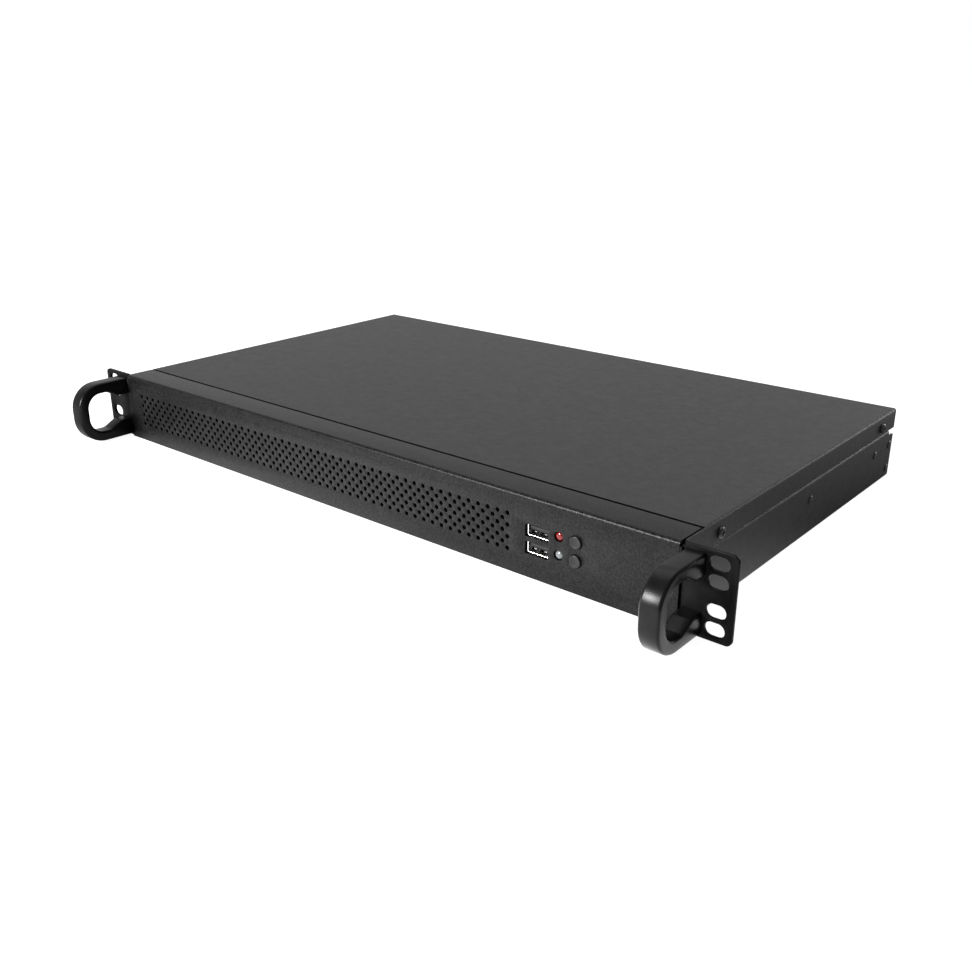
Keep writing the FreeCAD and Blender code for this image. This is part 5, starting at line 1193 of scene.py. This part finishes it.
def skyLight(s):
    # the camera sees white all round, a gloss sees a bright wall behind on the left and a
    # dark one on the right, and the other surfaces get a low fill
    world = bpy.data.worlds.new("studio")
    bpy.context.scene.world = world
    world.use_nodes = True
    tree = world.node_tree
    way = shaderNode(tree, "TexCoord").outputs["Generated"]
    wall = faded(tree, way, s["wallWay"], *s["wallSpread"], *s["wallLevels"])
    gloss = combined(tree, "MULTIPLY", rayKind(tree, "Is Glossy Ray"), wall)
    fill = combined(tree, "MULTIPLY", rayKind(tree, "Is Diffuse Ray"), s["fill"])
    white = rayKind(tree, "Is Camera Ray", "Is Transmission Ray")
    level = combined(tree, "MAXIMUM", combined(tree, "MAXIMUM", white, gloss), fill)
    wired(tree, tree.nodes["Background"], {"Color": (1, 1, 1, 1), "Strength": level})


def paperFloor(s):
    # the camera sees a pale floor, and a gloss sees it lit in front of the server and dim
    # beside it
    paper = bpy.data.materials.new("floor_paper")
    paper.use_nodes = True
    tree = paper.node_tree
    place = shaderNode(tree, "TexCoord").outputs["Object"]
    pool = faded(tree, place, s["poolPlace"], *s["poolSpread"], *s["poolLevels"])
    gloss = combined(tree, "MULTIPLY", rayKind(tree, "Is Glossy Ray"), pool)
    seen = combined(tree, "MULTIPLY", rayKind(tree, "Is Camera Ray", "Is Transmission Ray"),
                    s["floorGlow"])
    wired(tree, tree.nodes["Principled BSDF"], {
        "Base Color": (s["floorTone"],) * 3 + (1,), "Roughness": 0.9, "Specular IOR Level": 0.0,
        "Emission Color": (1, 1, 1, 1), "Emission Strength": combined(tree, "MAXIMUM", seen,
                                                                      gloss)})
    span, low = s["span"], cadBox[0].z
    mesh = bpy.data.meshes.new("floor")
    mesh.from_pydata([(-span, -span, low), (span, -span, low), (span, span, low),
                      (-span, span, low)], [], [(0, 1, 2, 3)])
    mesh.materials.append(paper)
    placed("floor", mesh)


camera(shot)
lit = {name: softLamp(name, **data) for name, data in lamps.items()}

# The front lamp skips the cover, or its glare would wash over the top when seen from behind
skipped = bpy.data.collections.new("front_lamp_skips")
skipped.objects.link(bpy.data.objects["cover_sheet"])
skipped.collection_objects[0].light_linking.link_state = "EXCLUDE"
lit["front"].light_linking.receiver_collection = skipped
skyLight(light)
paperFloor(light)
bpy.context.scene.view_settings.view_transform = "Standard"
print("camera, lamps and floor made")
